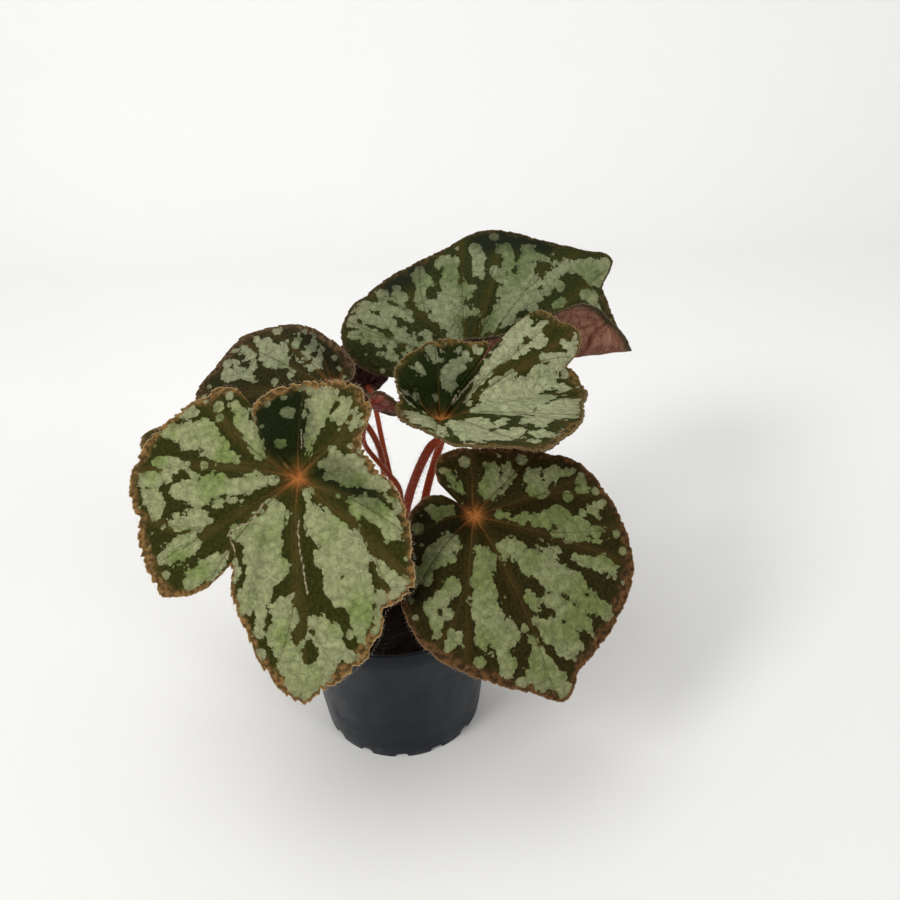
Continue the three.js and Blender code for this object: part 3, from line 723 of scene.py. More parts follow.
            [(-45, 32, 5.5), (-49, 28, 3.5), (-37, 36, 4)], [(-47, 25, 2.5), (-40, 26, 3.5)],
            [(-50, 20, 3), (-55, 17, 1)], [(54, 22, 2), (43, 19, 1.5)],
            [(-37, 60, 1.5), (-37, 52, 2), (-34, 50, 2.5), (-34, 46, 2), (-31, 45, 1)],
            [(-33, 62, 2.5), (-27, 68, 3.5), (-27, 72, 3.5)], [(-26, 63, 3.5), (-24, 64, 2.5)],
            [(-33, 59, 1.5)], [(-22, 56, 2.5), (-20, 58, 3), (31, 51, 2.5)], [(30, 48, 3), (27, 51, 3)],
            [(-25, 47, 1.5), (-25, 44, 1)], [(27, 45, 4.5), (27, 46, 4.5)], [(22, 56, 1.5), (16, 56, 1.5)],
        ],
    ),
    leaf_of(
        name="back_left", at=(-16, 8, 138), heading=170, droop=5, roll=-36,
        margin=[
            (-150, 12), (-120, 16), (-90, 19), (-60, 25), (-30, 36), (-12, 45), (0, 51), (12, 46), (22, 44),
            (30, 43), (41, 38), (59, 30), (78, 20), (100, 14), (125, 11), (145, 8), (160, 3), (175, 9),
        ],
        slot=160, lobe_lift=1, dome=3, wave=0.8, waves=5, wave_phase=20,
        ribs=[-140, -95, -50, 0, 30, 62, 105], grid=(420, 40),
        veins=[
            (-140, -144, 0), (-95, -96, 0), (-50, -46, 0), (0, 0, 0), (26, 28, 0), (50, 40, 0), (72, 66, 0),
            (105, 112, 0), (0, -14, 0.5), (-48, -28, 0.5),
        ],
        deep=[[(70, 22, 7), (95, 12, 6)]],
        root=(-8, 4.5), via=[(-1.6, 9, 106), (-5, 8, 121)], stalk_radius=1.2,
        dark=(0.023, 0.021, 0.006), brown=(0.045, 0.032, 0.010), shadow=(0.010, 0.010, 0.004),
        margin_tone=(0.080, 0.050, 0.026), edge_tone=(0.13, 0.085, 0.045), band=2.6, tooth=0.7,
        veined=0.6, fuller=0.22,
        silver=(0.245, 0.262, 0.150), green=(0.140, 0.19, 0.065), green_share=0.35,
        patches=[
            [(12, 41, 1.5), (10, 39, 3), (9, 35, 2.5), (10, 31, 2.5)], [(15, 41, 2)],
            [(17, 39, 1.5), (17, 38, 1)], [(22, 42, 1), (21, 38, 1)],
            [(26, 38, 1.5), (23, 35, 2.5), (14, 28, 1.5)],
            [(32, 36, 1.5), (32, 33, 3), (31, 29, 3.5), (31, 22, 3), (29, 20, 1.5)],
            [(24, 28, 2.5), (24, 26, 2.5)], [(40, 26, 2), (42, 26, 1.5)], [(21, 23, 1.5)], [(45, 33, 2)],
            [(55, 26, 1.5), (47, 22, 1.5)], [(41, 19, 1), (37, 17, 0.5)],
            [(66, 22, 1), (57, 18, 2), (42, 15, 1.5)], [(67, 15, 1.5), (51, 11, 2), (40, 11, 1)],
            [(19, 16, 1), (12, 16, 1)], [(7, 21, 1.5)],
        ],
    ),
    leaf_of(
        name="left", at=(-42, 8, 117), heading=178, droop=-7, roll=0,
        margin=[
            (-160, 21), (-130, 23), (-95, 24), (-65, 28), (-40, 34), (-18, 39), (3, 43), (22, 36), (45, 31),
            (75, 28), (105, 26), (130, 23), (150, 4), (170, 20),
        ],
        slot=150, lobe_lift=1.5, dome=6, wave=1.5, wave_phase=90,
        ribs=[-140, -90, -45, 3, 50, 100], grid=(420, 40),
        veins=[
            (-140, -144, 0), (-90, -92, 0), (-45, -48, 0), (3, 3, 0), (50, 52, 0), (100, 104, 0),
            (3, 16, 0.5), (3, -12, 0.45), (-46, -30, 0.5), (51, 36, 0.5),
        ],
        deep=[[(60, 14, 6)]],
        root=(-13, 3), via=[(-25, 5, 86)], stalk_radius=1.3,
        dark=(0.030, 0.028, 0.005), brown=(0.050, 0.036, 0.009), shadow=(0.009, 0.010, 0.003),
        margin_tone=(0.105, 0.070, 0.022), edge_tone=(0.24, 0.17, 0.07), band=1.8, tooth=1.1,
        veined=0.9,
        silver=(0.26, 0.28, 0.15), green=(0.17, 0.225, 0.070), green_share=0.4,
    ),
    leaf_of(
        name="young", at=(-2.5, 8, 134.5), heading=0, droop=35, roll=-55,
        margin=[
            (-155, 5), (-115, 7), (-70, 8), (-50, 10), (-25, 12), (0, 10.5), (25, 8.6), (50, 8), (75, 7.5),
            (100, 6.2), (125, 4.5), (155, 4), (178, 3),
        ],
        slot=178, lobe_lift=0, dome=-6, wave=0.3,
        ribs=[-120, -60, 0, 60, 120], grid=(300, 26),
        veins=[
            (-120, -125, 0), (-60, -64, 0), (0, 0, 0), (60, 64, 0), (120, 125, 0), (0, 18, 0.4), (0, -18, 0.4),
        ],
        root=(-2.5, 3.5), via=[(4.1, 4, 98), (-0.6, 4, 107), (-7, 4.5, 118)], stalk_radius=1,
        dark=(0.050, 0.028, 0.010), brown=(0.070, 0.032, 0.014), shadow=(0.020, 0.012, 0.005),
        margin_tone=(0.105, 0.055, 0.022), edge_tone=(0.24, 0.15, 0.07), band=0.6, tooth=0.5,
        veined=0.8,
        pads=((0.29, 0.090, 0.065), (0.64, 0.34, 0.26)), under_veins=(0.24, 0.040, 0.026),
        silver=(0.24, 0.25, 0.15), green=(0.19, 0.23, 0.10), green_share=0.4,
    ),
    leaf_of(
        name="bud", at=(-9.7, 51, 115.5), heading=112, droop=-65, roll=180,
        margin=[
            (-163, 4.5), (-128, 4.5), (-102, 6.3), (-82, 10), (-73, 10.3), (-48, 10.5), (-20, 13.2), (1, 16),
            (17, 18), (34, 18.5), (51, 16.8), (75, 14.7), (100, 13.3), (121, 10.7), (146, 7.5), (165, 5),
        ],
        slot=178, lobe_lift=0, dome=1, wave=0.5,
        ribs=[-90, -40, 10, 50, 95, 150], grid=(300, 26),
        veins=[
            (-90, -88, 0), (-40, -44, 0), (10, 8, 0), (50, 46, 0), (95, 98, 0), (150, 152, 0), (50, 30, 0.5),
        ],
        root=(3, 4.6), via=[(2, 13, 82), (-3, 30, 103)], stalk_radius=1.1,
        dark=(0.060, 0.019, 0.012), brown=(0.085, 0.028, 0.016), shadow=(0.020, 0.009, 0.005),
        margin_tone=(0.070, 0.035, 0.020), edge_tone=(0.16, 0.095, 0.06), band=0.8, tooth=0.5,
        veined=0.8,
        pads=((0.050, 0.020, 0.014), (0.105, 0.044, 0.030)), under_veins=(0.040, 0.012, 0.008),
        silver=(0.105, 0.045, 0.032), green=(0.085, 0.040, 0.022), green_share=0.4,
    ),
]


def soft_step(value, low, high):
    share = np.clip((value - low) / (high - low), 0, 1)
    return share * share * (3 - 2 * share)


def flat_spot(angle, mm):
    """The place of (degrees, mm) on the blade laid flat, with y along the midrib."""
    turn = np.radians(angle)
    return mm * np.sin(turn), mm * np.cos(turn)


def edge_distance(leaf, angle):
    """The edge's distance from the stalk: a smooth curve through the margin that never swings past it."""
    turns = (-720, -360, 0, 360, 720)
    degrees = np.concatenate([[row[0] + turn for row in leaf["margin"]] for turn in turns])
    radius = np.tile([row[1] for row in leaf["margin"]], len(turns)).astype(float)
    slope = np.diff(radius) / np.diff(degrees)
    before, after = slope[:-1], slope[1:]
    both = np.where(before + after == 0, 1, before + after)
    smooth_slope = np.where(before * after > 0, 2 * before * after / both, 0)
    tangent = np.concatenate(([0], smooth_slope, [0]))
    k = np.searchsorted(degrees, angle, side="right") - 1
    width = degrees[k + 1] - degrees[k]
    t = (angle - degrees[k]) / width
    return ((2 * t ** 3 - 3 * t ** 2 + 1) * radius[k] + (t ** 3 - 2 * t ** 2 + t) * width * tangent[k]
            + (3 * t ** 2 - 2 * t ** 3) * radius[k + 1] + (t ** 3 - t ** 2) * width * tangent[k + 1])


def between_ribs(leaf, angle):
    """The share of the way from the rib on the low side of an angle to the next one."""
    ribs = np.array(leaf["ribs"] + [leaf["ribs"][0] + 360], float)
    past = (angle - ribs[0]) % 360
    k = np.clip(np.searchsorted(ribs - ribs[0], past, side="right") - 1, 0, len(ribs) - 2)
    return (past - (ribs[k] - ribs[0])) / (ribs[k + 1] - ribs[k])


def blade_points(leaf, angle, radius, share, above):
    """Points of the blade in its own frame, in millimetres, before the leaf is placed."""
    past_slot = (angle - leaf["slot"] + 180) % 360 - 180
    lobe = np.exp(-(past_slot / LOBE_SPAN) ** 2) * soft_step(share, 0.15, 0.7)
    on_top = past_slot > 0
    x, y = flat_spot(angle - leaf["lobe_sweep"] * lobe * on_top, radius)
    z = (
        above - leaf["dome"] * (radius / 50) ** 2
        - STAR_DEPTH * np.exp(-(radius / STAR_WIDTH) ** 2)
        + leaf["lobe_lift"] * lobe * (on_top - 0.3)
        + leaf["wave"] * share ** 3 * np.sin(np.radians(leaf["waves"] * angle + leaf["wave_phase"]))
        + RIB_PUFF * np.sin(math.pi * between_ribs(leaf, angle)) ** 2 * np.sin(math.pi * share ** 0.8)
    )
    fold = np.radians(leaf["fold_right"]) * soft_step(x, 0, 10) * (x > 0)
    x, z = x * np.cos(fold) - z * np.sin(fold), x * np.sin(fold) + z * np.cos(fold)
    lift = np.radians(leaf["stand"]) * soft_step(-y, 0, 12)
    y, z = y * np.cos(lift) + z * np.sin(lift), z * np.cos(lift) - y * np.sin(lift)
    return np.column_stack((x, y, z))


def blade_turn(leaf):
    heading, droop, roll = (math.radians(leaf[key]) for key in ("heading", "droop", "roll"))
    headed = Matrix.Rotation(heading - math.pi / 2, 3, "Z")
    return np.array(headed @ Matrix.Rotation(-droop, 3, "X") @ Matrix.Rotation(roll, 3, "Y"))


def edge_angles(leaf, count):
    """Angles once round the edge, from slot to slot, spaced evenly along it."""
    fine = np.linspace(leaf["slot"], leaf["slot"] + 360, 6001)
    x, y = flat_spot(fine, edge_distance(leaf, fine))
    along = np.concatenate(([0], np.cumsum(np.hypot(np.diff(x), np.diff(y)) + 0.02)))
    return np.interp(np.linspace(0, along[-1], count + 1), along, fine)


def patches_by_rule(leaf, draw):
    """Patches between the ribs where the table gives none: one broken chain up the middle of each gap."""
    chains = []
    given = [point[0] for chain in leaf["patches"] for point in chain]
    for rib, following in zip(leaf["ribs"], leaf["ribs"][1:] + [leaf["ribs"][0] + 360]):
        gap = following - rib
        if gap < 14 or any(rib < angle < following or rib < angle + 360 < following for angle in given):
            continue
        centre = rib + gap / 2
        reach = float(edge_distance(leaf, np.array([(centre + 180) % 360 - 180]))[0])
        width = math.sin(math.radians(min(gap, 60) / 2)) * 0.42
        for low, high in ((0.22, 0.5), (0.56, 0.84)):
            chain = []
            for share in (low, (low + high) / 2, high):
                mm = reach * share
                angle = centre + draw.uniform(-0.12, 0.12) * gap
                chain.append((angle, mm, max(1, width * mm * draw.uniform(0.7, 1.1))))
            chains.append(chain)
    return chains


def inside_patches(x, y, chains, least=-4.0):
    """How far each point lies inside the nearest chain, in millimetres, and below 0 outside."""
    depth = np.full(len(x), float(least))
    for chain in chains:
        points = [(*flat_spot(angle, mm), half) for angle, mm, half in chain]
        points = points * 2 if len(points) == 1 else points
        for (x0, y0, half0), (x1, y1, half1) in zip(points, points[1:]):
            across, up = x1 - x0, y1 - y0
            run = across ** 2 + up ** 2
            t = np.clip(((x - x0) * across + (y - y0) * up) / run, 0, 1) if run else np.zeros(len(x))
            away = np.hypot(x - x0 - t * across, y - y0 - t * up)
            depth = np.maximum(depth, half0 + t * (half1 - half0) - away)
    return depth


def vein_chains(leaf):
    chains = []
    for start, end, first in leaf["veins"]:
        shares = np.linspace(first, VEIN_END, 9)
        angles = start + (end - start) * (shares - first) / (1 - first)
        reach = edge_distance(leaf, (angles + 180) % 360 - 180) * shares
        chains.append([(angle, mm, 0) for angle, mm in zip(angles, reach)])
    return chains


def loose_spots(leaf, draw):
    """Small round patches by rule: most stand in a band inside the margin."""
    spots = []
    for _ in range(LOOSE_SPOTS):
        angle = draw.uniform(-180, 180)
        reach = float(edge_distance(leaf, np.array([angle]))[0])
        mm = reach - draw.uniform(2.6, 9) if draw.random() < 0.7 else reach * draw.uniform(0.25, 0.8)
        if mm > 5:
            spots.append((angle, mm, draw.uniform(0.5, 1.15)))
    return spots


def set_attribute(piece, name, values):
    kind, key = ("FLOAT_VECTOR", "vector") if values.ndim > 1 else ("FLOAT", "value")
    attribute = piece.data.attributes.new(name, kind, "POINT")
    attribute.data.foreach_set(key, np.ascontiguousarray(values).ravel())


class BladeFinish(Finish):
    """The finish of one face of a blade, drawn in millimetres on the blade laid flat."""

    def __init__(self, name):
        super().__init__(name)
        self.flat = self.mark("flat", out="Vector")
        self.vein, self.rim = self.mark("vein"), self.mark("rim")

    def mark(self, name, out="Fac"):
        """A value that the mesh carries at its vertices."""
        return self.add("Attribute", out=out, attribute_name=name)

    def mottle(self, scale, detail=3.0, rough=0.5):
        return self.noise(self.flat, scale, detail, rough)

    def swayed(self, value, wobble, middle, size):
        """A value that a second one raises and lowers, where it is above or below its middle."""
        return self.math("ADD", value, self.product(self.math("SUBTRACT", wobble, middle), size))

    def strayed(self, place, scale, reach, detail=2):
        """A place moved about by noise, so that what is drawn there has an uneven outline."""
        wander = self.noise(self.flat, scale, detail=detail, out=1)
        moved = self.add("VectorMath", {0: wander, 1: reach}, operation="MULTIPLY")
        return self.add("VectorMath", {0: place, 1: moved}, operation="ADD")

    def net(self, place, scale):
        """The distance from the nearest line of a fine net."""
        return self.cells(place, scale, feature="DISTANCE_TO_EDGE")


def toned(colour, factors):
    """A colour whose parts are multiplied by one factor or by three."""
    return tuple(np.multiply(colour, factors).tolist())


def scratched(face, colour, fine, chains):
    """Thin pale scratches over a colour: each chain is a row of straight lines that waver a little."""
    wavering = face.strayed(face.flat, 0.5, (1.3, 1.3, 0))
    for chain in chains:
        for start, end in zip(chain, chain[1:]):
            (x0, y0), (x1, y1) = flat_spot(*start), flat_spot(*end)
            half, turn = math.hypot(x1 - x0, y1 - y0) / 2, math.atan2(y1 - y0, x1 - x0)
            placing = {"Vector": wavering, "Location": (x0, y0, 0), "Rotation": (0, 0, turn)}
            laid = face.add("Mapping", placing, vector_type="TEXTURE")
            along, off = (face.add("SeparateXYZ", {"Vector": laid}, out=out) for out in ("X", "Y"))
            beyond = face.math("ABSOLUTE", face.math("SUBTRACT", along, half))
            inside = face.ramp(beyond, half + 0.3, half - 0.2)
            line = face.product(face.ramp(face.math("ABSOLUTE", off), 0.36, 0.12), inside)
            line = face.product(line, face.ramp(fine, 0.36, 0.60, 0.15, 0.8))
            colour = face.blend(line, colour, (0.36, 0.30, 0.20))
    return colour


def leaf_face(leaf):
    """The upper face: dark olive, silver patches with scalloped edges, brown margin and an orange star."""
    face = BladeFinish(f"leaf_face_{leaf['name']}")
    flat, vein, rim = face.flat, face.vein, face.rim
    reach = face.add("VectorMath", {0: flat}, out="Value", operation="LENGTH")
    fine, broad = face.mottle(0.9), face.mottle(0.07)
    bent = face.strayed(flat, 0.55, (1.4, 1.4, 1.4))
    pebble, small, netted = face.cells(bent, PEBBLES), face.cells(bent, SMALL_PEBBLES), face.net(bent, NET)

    # A patch's edge has lobes that point away from the star, swells round each pebble of the blade and wanders
    # in larger lobes. Small spots stay round.
    chain = face.mark("patch")
    lobe = face.cells(face.strayed(face.mark("fan", out="Vector"), 0.8, (1.1, 1.1, 0)), LOBES)
    pebble_tone = face.add("SeparateColor", {"Color": face.cells(bent, PEBBLES, out="Color")})
    depth = chain
    for wobble, middle, size in (
        (lobe, 0.47, face.ramp(reach, 4, 36, -1.5, -4.3)), (pebble, 0.47, -1.15), (pebble_tone, 0.5, 0.6),
        (small, 0.45, -0.25), (face.mottle(1.6, detail=2), 0.5, 0.3), (face.mottle(0.5, detail=1), 0.5, 1.6),
        (face.mottle(0.22, detail=1), 0.5, 2.8),
    ):
        depth = face.swayed(depth, wobble, middle, size)
    depth = face.math("MINIMUM", depth, face.math("ADD", chain, PATCH_SWELL))
    round_spot = face.swayed(face.mark("spot"), face.mottle(0.75, detail=2), 0.5, 1.7)
    depth = face.math("MAXIMUM", depth, round_spot)
    clear = face.product(face.ramp(vein, 0.05, 0.40, 0.35, 1.0), face.ramp(rim, 0.9, 1.7))
    patch = face.product(face.ramp(depth, -0.08, 0.22), clear)

    # Dark olive between the patches, lighter and browner beside the veins, and mottled brown at the margin.
    base = face.blend(face.ramp(fine, 0.3, 0.7), toned(leaf["dark"], 0.65), toned(leaf["dark"], 1.25))
    beside = face.product(face.ramp(vein, 2.6, 0.5), face.ramp(broad, 0.30, 0.62, 0.25, leaf["beside"]))
    base = face.blend(beside, base, leaf["brown"])
    base = face.blend(face.ramp(netted, 0.0, 0.05, 0.16, 0.0), base, (0.062, 0.060, 0.016))
    # Painted shade: inside the leaf's chains of painted shade the dark base is darkened towards the leaf's
    # `shadow` colour, and the veins show less there.
    painted_shade_share = face.ramp(face.mark("deep"), -3.0, 3.0)
    base = face.blend(face.product(painted_shade_share, 0.92), base, leaf["shadow"])
    vein_tone = face.blend(face.ramp(reach, 3, 13), (0.120, 0.050, 0.014), (0.058, 0.046, 0.013))
    vein_width = face.ramp(reach, 3, 32, 0.55, 0.32)
    fading = face.ramp(reach, 3, 24, 0.8 * leaf["veined"], 0.5 * leaf["veined"])
    vein_share = face.product(fading, face.ramp(painted_shade_share, 0, 1, 1, 0.35))
    on_vein = face.product(face.ramp(face.math("DIVIDE", vein, vein_width), 1.0, 0.35), vein_share)
    base = face.blend(on_vein, base, vein_tone)
    ragged = face.swayed(rim, face.mottle(0.25, detail=4), 0.5, 7.0)
    uneven = face.swayed(ragged, face.mottle(0.035, detail=1), 0.5, 9.0)
    tan = toned(leaf["margin_tone"], (1.45, 1.35, 1.25))
    clouds = face.ramp(face.mottle(0.6, detail=4), 0.38, 0.62)
    band = face.blend(clouds, toned(leaf["margin_tone"], 0.45), tan)
    base = face.blend(face.ramp(uneven, leaf["band"] + 2.0, leaf["band"] - 1.6, 0, 0.9), base, band)
    base = face.blend(face.ramp(rim, 0.5, 0.12, 0, 0.85), base, leaf["edge_tone"])

    # The patches: silver to leaf green, mottled, and drier towards the margin, with painted shade in the
    # creases of a fine net, round the rim of each small pebble and towards a patch's edge, and a faint painted
    # highlight at each pebble's middle.
    mix = 0.66 - 0.3 * leaf["green_share"]
    tone = face.blend(face.ramp(face.mottle(0.06), mix - 0.08, mix + 0.14), leaf["silver"], leaf["green"])
    tone = face.blend(face.ramp(rim, 8.0, 2.0, 0, 0.45), tone, (0.235, 0.215, 0.125))
    shade = face.product(face.ramp(netted, 0.0, 0.06, 0.78, 1.0), face.ramp(small, 0.1, 0.7, 1.05, 0.90))
    shade = face.product(shade, face.ramp(face.mottle(0.45, detail=5, rough=0.6), 0.3, 0.7, 0.72, 1.18))
    shade = face.product(shade, face.ramp(depth, 0.1, 1.4, 0.86, 1.0))
    pale = face.times(tone, face.add("CombineColor", {0: shade, 1: shade, 2: shade}))
    # Painted shade on the patches as well, at half strength.
    pale = face.blend(face.product(painted_shade_share, 0.5), pale, leaf["shadow"])
    scarred = scratched(face, face.blend(patch, base, pale), fine, leaf["scars"])
    fuzzy = face.product(face.mark("star"), face.ramp(face.mottle(1.3, detail=2), 0.3, 0.6, 0.7, 1.1))
    starred = face.blend(fuzzy, scarred, (0.34, 0.125, 0.032))

    domes = face.bump(face.ramp(pebble, 0.0, 0.8, 1.0, 0.0), 0.12)
    veiny = face.bump(face.ramp(netted, 0.0, 0.2), 0.20, domes)
    grainy = face.bump(face.mottle(1.7), 0.12, veiny)
    ribbed = face.bump(face.ramp(vein, 0.0, 1.2), 0.32, grainy)
    return face.surface(starred, face.ramp(patch, 0.0, 1.0, 0.6, 0.5), ribbed, Specular_IOR_Level=0.035)


def leaf_back(leaf):
    """The lower face: brownish red, netted with raised darker veins."""
    back = BladeFinish(f"leaf_back_{leaf['name']}")
    bent = back.strayed(back.flat, 0.35, (4.5, 4.5, 4.5), detail=3)
    wide, close = back.net(bent, 0.20), back.net(bent, 0.62)
    pad = back.blend(back.mottle(0.25, detail=5, rough=0.6), *leaf["pads"])
    lines = back.blend(back.ramp(close, 0.07, 0.0, 0, 0.4), pad, leaf["under_veins"])
    lines = back.blend(back.ramp(wide, 0.09, 0.01, 0, 0.65), lines, leaf["under_veins"])
    ribs = back.blend(back.ramp(back.vein, 0.8, 0.3, 0, 0.8), lines, toned(leaf["under_veins"], 1.25))
    rimmed = back.blend(back.ramp(back.rim, 3.2, 0.8), ribs, leaf["margin_tone"])
    puffed = back.bump(back.ramp(wide, 0.0, 0.25), 0.55, back.bump(back.ramp(close, 0.0, 0.2), 0.2))
    raised = back.bump(back.ramp(back.vein, 0.9, 0.2), 0.5, puffed)
    grainy = back.bump(back.mottle(2.0), 0.12, raised)
    return back.surface(rimmed, 0.55, grainy, Specular_IOR_Level=0.12)


def make_blade(leaf, draw):
    around, rings = leaf["grid"]
    angles = edge_angles(leaf, around)
    edge_x, edge_y = flat_spot(angles, edge_distance(leaf, angles))
    pitch = np.hypot(np.diff(edge_x), np.diff(edge_y)).mean()
    data = {}

    def place(round_share, along_share):
        step = np.rint(round_share * around).astype(int)
        angle, along_edge = angles[step], step * pitch
        share = np.sin(along_share * math.pi / 2) ** 1.1
        reach = edge_distance(leaf, angle)
        uneven = 1.1 * np.sin(along_edge * 0.14) + 0.8 * np.sin(along_edge * 0.055 + 2)
        large = ((along_edge / LARGE_TOOTH + uneven) % 1) * (0.75 + 0.45 * np.sin(along_edge * 0.61))
        toothed = leaf["tooth"] * (large + 0.34 * ((along_edge / SMALL_TOOTH) % 1))
        radius = reach * share - toothed * soft_step(share, TEETH_FROM, 1)
        x, y = flat_spot(angle, radius)
        flat = np.column_stack((x, y, 0 * radius))
        data["flat"] = flat
        data["fan"] = np.column_stack((16 * np.radians(angle), 10 * np.log(radius + 4), 0 * radius))
        data["vein"] = -inside_patches(x, y, vein_chains(leaf), -9)
        data["rim"] = reach * (1 - share)
        rays = 0.75 * np.exp(-radius / 2.6) * np.exp(-(data["vein"] / 0.5) ** 2)
        data["star"] = 0.95 * np.exp(-(radius / 2.7) ** 2) + rays
        data["deep"] = inside_patches(x, y, leaf["deep"])
        dots = [chain for chain in leaf["patches"] if len(chain) == 1 and chain[0][2] <= LARGEST_DOT]
        wide = [chain for chain in leaf["patches"] if chain not in dots] + patches_by_rule(leaf, draw)
        data["patch"] = inside_patches(x, y, wide) + leaf["fuller"]
        data["spot"] = inside_patches(x, y, dots)
        for spot in loose_spots(leaf, draw):
            inside = inside_patches(x, y, [[spot]])
            if not np.any((inside > 0) & (np.maximum(data["patch"], data["spot"]) > -SPOT_GAP)):
                data["spot"] = np.maximum(data["spot"], inside)
        quilt = 0.32 * lumps(flat, 5.2, 3.0) + 0.16 * lumps(flat, 2.2, 7.0)
        above = quilt * soft_step(share, 0.05, 0.3)
        points = blade_points(leaf, angle, radius, share, above)
        return points @ blade_turn(leaf).T + np.array(leaf["at"])

    blade = wrapped_grid(f"blade_{leaf['name']}", around, rings, place)
    for name, values in data.items():
        set_attribute(blade, name, values)
    close_seams(blade)
    centre_normal = np.array(blade_turn(leaf))[:, 2]
    facing = sum(np.dot(face.normal, centre_normal) for face in list(blade.data.polygons)[:200])
    if facing < 0:
        blade.data.flip_normals()
    wall = blade.modifiers.new("thickness", "SOLIDIFY")
    wall.thickness = BLADE_THICKNESS * MM
    wall.offset = 0
    wall.use_even_offset = False
    wall.material_offset = 1
    wall.material_offset_rim = 1
    give(blade, leaf_face(leaf), leaf_back(leaf))
    apply_all(blade)
    smooth(blade, 50)
    return blade


draw = np.random.default_rng(21)
for leaf in LEAVES:
    blade = make_blade(leaf, draw)
    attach(blade, "root")
    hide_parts(f"leaf_{leaf['name']}")

# ---------------------------------------------------------------------------------------------------------
# Leaf edge hairs. A fringe of short pale hairs, each a fine row of plant cells, grows out of every margin.
# They stand out from the edge and lean a little to either side, and are seen only from close by.

HAIRS_PER_MM = 1.9
HAIR_LENGTH = 1.1
HAIR_THICK = 0.042

pale = Finish("pale_hair")
where = pale.place()
hair_tone = pale.blend(pale.noise(where, 700), (0.30, 0.21, 0.12), (0.60, 0.50, 0.36))
pale_hair = pale.surface(hair_tone, 0.45, Specular_IOR_Level=0.5)

draw = np.random.default_rng(33)
for leaf in LEAVES:
    reaches = [mm for _, mm in leaf["margin"]]
    count = int(HAIRS_PER_MM * sum(reaches) / len(reaches) * 2 * math.pi)
    angles = edge_angles(leaf, count)[:-1]
    reach = edge_distance(leaf, angles) - 0.5
    turn, at = blade_turn(leaf), np.array(leaf["at"])
    inner = blade_points(leaf, angles, reach * 0.97, np.full(count, 0.97), 0.0) @ turn.T + at
    outer = blade_points(leaf, angles, reach, np.full(count, 1.0), 0.0) @ turn.T + at
    ways = outer - inner
    ways = ways / np.linalg.norm(ways, axis=1, keepdims=True) + draw.normal(0, 0.45, ways.shape)
    lengths = HAIR_LENGTH * draw.uniform(0.4, 1.2, count)
    fringe = hair_mesh(f"fringe_{leaf['name']}", outer, ways, lengths, HAIR_THICK, 0.3, draw)
    give(fringe, pale_hair)
    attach(fringe, "root")
    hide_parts(f"leaf_{leaf['name']}")

# ---------------------------------------------------------------------------------------------------------
# Stalks. Each leaf has one fleshy stalk that grows out of the rhizome and joins the blade under its star.
# They are dark red with paler flecks, a little thicker at both ends, and bristle with fine hairs.

STALK_ROOT_HEIGHT = 56
STALK_END = 6.4  # over which it turns to meet the blade
BRISTLES = 46  # for each mm of radius and each twelve rings of the stalk
BRISTLE_THICK = 0.045

flesh = Finish("stalk_flesh")
where = flesh.place()
long_marks = flesh.add("Mapping", {"Vector": where, "Scale": (1, 1, 0.22)})
flecks = flesh.cells(long_marks, 950)
tone = flesh.noise(long_marks, 380, detail=4)
red = flesh.blend(tone, (0.20, 0.018, 0.006), (0.38, 0.070, 0.024))
spotted = flesh.blend(flesh.ramp(flecks, 0.20, 0.08, 0.0, 0.5), red, (0.36, 0.12, 0.06))
stalk_skin = flesh.surface(
    spotted, 0.38, flesh.bump(tone, 0.2), Specular_IOR_Level=0.16, Subsurface_Weight=0.05,
)
fuzz = Finish("stalk_hair")
where = fuzz.place()
reddish = fuzz.blend(fuzz.noise(where, 600), (0.25, 0.07, 0.035), (0.55, 0.36, 0.26))
stalk_hair = fuzz.surface(reddish, 0.5)

draw = np.random.default_rng(45)
for leaf in LEAVES:
    turn = blade_turn(leaf)
    star = np.array(leaf["at"]) - turn[:, 2] * (STAR_DEPTH + 0.15)
    down = -turn[:, 2]
    from_below = np.array(leaf["via"][-1]) - star
    from_below /= np.linalg.norm(from_below)
    arrival = (from_below + down) / 2
    arrival /= np.linalg.norm(arrival)
    path = [(*leaf["root"], STALK_ROOT_HEIGHT), *leaf["via"], star + arrival * STALK_END, star]
    thick = leaf["stalk_radius"]

    def stalk_radius(along, around, length):
        ends = np.exp(-length * along / 4) * 0.35 + np.exp(-length * (1 - along) / 1.6) * 0.35
        ridges = 0.05 * np.sin(6 * math.pi * around + 2 * along)
        closing = np.sqrt(np.clip(1 - np.abs(2 * along - 1) ** 90, 0, 1))
        return thick * (0.96 - 0.12 * along + ends + ridges) * closing

    stalk, route = tube(f"petiole_{leaf['name']}", path, stalk_radius, 24, 120)
    give(stalk, stalk_skin)
    _, sides, ups = frames_along(route)
    count = int(BRISTLES * thick * len(route) / 12)
    rows = draw.integers(8, len(route) - 3, count)
    turns = draw.uniform(0, 2 * math.pi, count)
    out = np.cos(turns)[:, None] * sides[rows] + np.sin(turns)[:, None] * ups[rows]
    ways = out + draw.normal(0, 0.25, out.shape)
    lengths = draw.uniform(0.7, 1.7, count)
    roots = route[rows] + out * thick * 0.86
    hairs = hair_mesh(f"bristles_{leaf['name']}", roots, ways, lengths, BRISTLE_THICK, 0.35, draw)
    give(hairs, stalk_hair)
    for piece in (stalk, hairs):
        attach(piece, "root")
        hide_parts(f"stalk_{leaf['name']}")

# ---------------------------------------------------------------------------------------------------------
# Stage: a white sweep of floor and wall, painted darker on the floor in front and lighter towards the wall as
# painted shade and light, a soft light from either side of the front and one from above, and the camera at the
# photograph's place. All measures are in metres here.

FLOOR_WIDTH = 7
FLOOR_BACK = 0.5
FLOOR_FRONT = -3.5
BEND_RADIUS = 0.16
BEND_STEPS = 12
WALL_HEIGHT = 2

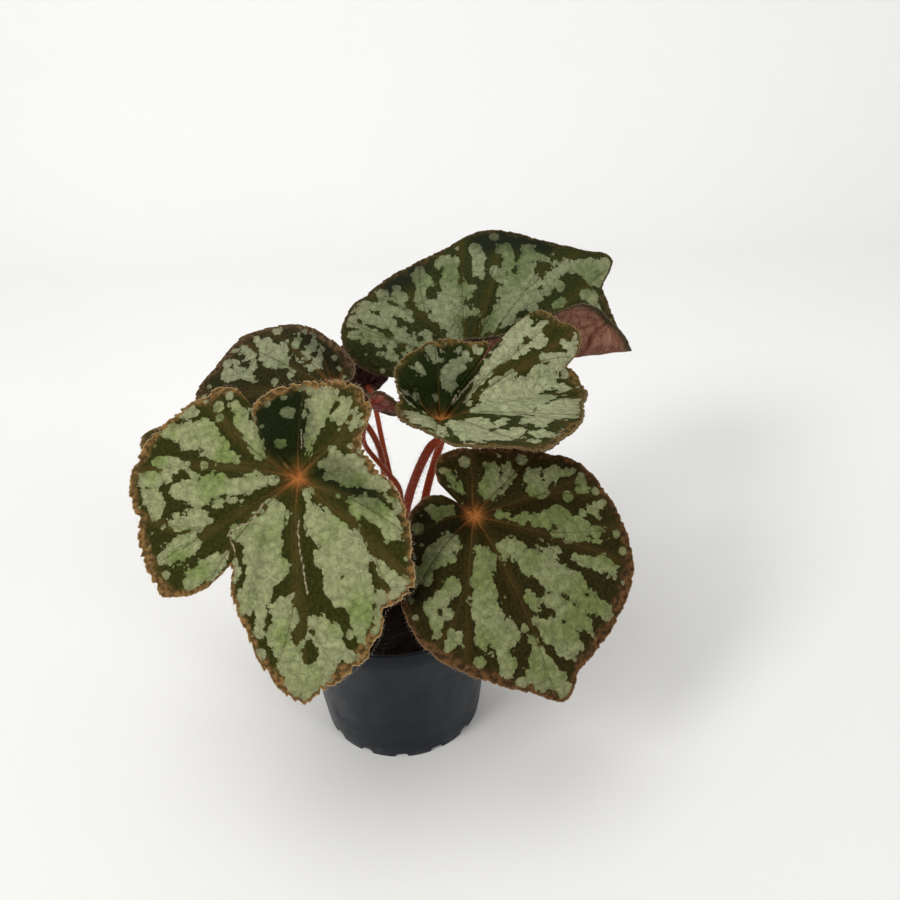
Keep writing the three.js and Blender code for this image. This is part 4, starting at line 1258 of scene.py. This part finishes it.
deselect_all()
bpy.ops.mesh.primitive_plane_add(size=2)
sweep = bpy.context.object
sweep.name = "sweep"
bpy.ops.object.mode_set(mode="EDIT")
bpy.ops.transform.resize(value=(FLOOR_WIDTH / 2, 1, 1))
bpy.ops.object.mode_set(mode="OBJECT")
for vertex in sweep.data.vertices:
    vertex.co.y = FLOOR_BACK if vertex.co.y > 0 else FLOOR_FRONT
bpy.ops.object.mode_set(mode="EDIT")
bpy.ops.mesh.select_all(action="DESELECT")
bpy.ops.object.mode_set(mode="OBJECT")
for line in sweep.data.edges:
    line.select = all(sweep.data.vertices[i].co.y > 0 for i in line.vertices)
bpy.ops.object.mode_set(mode="EDIT")
for step in range(BEND_STEPS):
    angle = (step + 0.5) * math.pi / 2 / BEND_STEPS
    length = BEND_RADIUS * math.pi / 2 / BEND_STEPS
    bent_up = (0, length * math.cos(angle), length * math.sin(angle))
    bpy.ops.mesh.extrude_region_move(TRANSFORM_OT_translate={"value": bent_up})
bpy.ops.mesh.extrude_region_move(TRANSFORM_OT_translate={"value": (0, 0, WALL_HEIGHT)})
bpy.ops.object.mode_set(mode="OBJECT")
smooth(sweep, 60)
paint = Finish("white_sweep")
where = paint.place()
# Painted shade and light: the sweep is darker on the floor in front and lighter towards and up the wall.
painted_wall_light = paint.ramp(paint.add("SeparateXYZ", {"Vector": where}, out="Y"), -0.05, 0.30)
white = paint.blend(painted_wall_light, (0.80, 0.80, 0.785), (0.90, 0.90, 0.895))
soft_white = paint.blend(paint.noise(where, 6), white, paint.times(white, (1.02, 1.02, 1.02)))
give(sweep, paint.surface(soft_white, 0.7, Specular_IOR_Level=0.2))


def soft_light(name, place, target, size, watts, colour):
    data = bpy.data.lights.new(name, "AREA")
    data.shape = "DISK"
    data.size = size
    data.energy = watts
    data.color = colour
    light = bpy.data.objects.new(name, data)
    light.location = place
    light.rotation_euler = (Vector(target) - Vector(place)).to_track_quat("-Z", "Y").to_euler()
    bpy.context.scene.collection.objects.link(light)


soft_light("light_front_left", (-0.75, -0.70, 0.95), (0, 0, 0.08), 0.42, 8.5, (1.0, 0.99, 0.97))
soft_light("light_front_right", (0.95, -0.80, 0.45), (0, 0, 0.08), 0.36, 4.1, (0.98, 0.99, 1.0))
soft_light("light_top", (-0.15, -0.1, 1.1), (0, 0, 0.05), 0.7, 3.3, (1, 1, 1))
world = bpy.data.worlds.new("studio")
world.use_nodes = True
background = world.node_tree.nodes["Background"]
background.inputs["Color"].default_value = (0.99, 0.985, 0.97, 1)
background.inputs["Strength"].default_value = 0.42
bpy.context.scene.world = world
bpy.context.scene.view_settings.view_transform = "Standard"

camera_data = bpy.data.cameras.new("camera")
camera_data.sensor_width = 36
camera_data.lens = 36
camera_data.clip_start = 0.01
camera = bpy.data.objects.new("camera", camera_data)
camera.location = (0.0222, -0.258, 0.278)
tilt, level = Matrix.Rotation(math.radians(58), 3, "X"), Matrix.Rotation(math.radians(-2), 3, "Z")
camera.rotation_euler = (tilt @ level).to_euler()
bpy.context.scene.collection.objects.link(camera)
bpy.context.scene.camera = camera
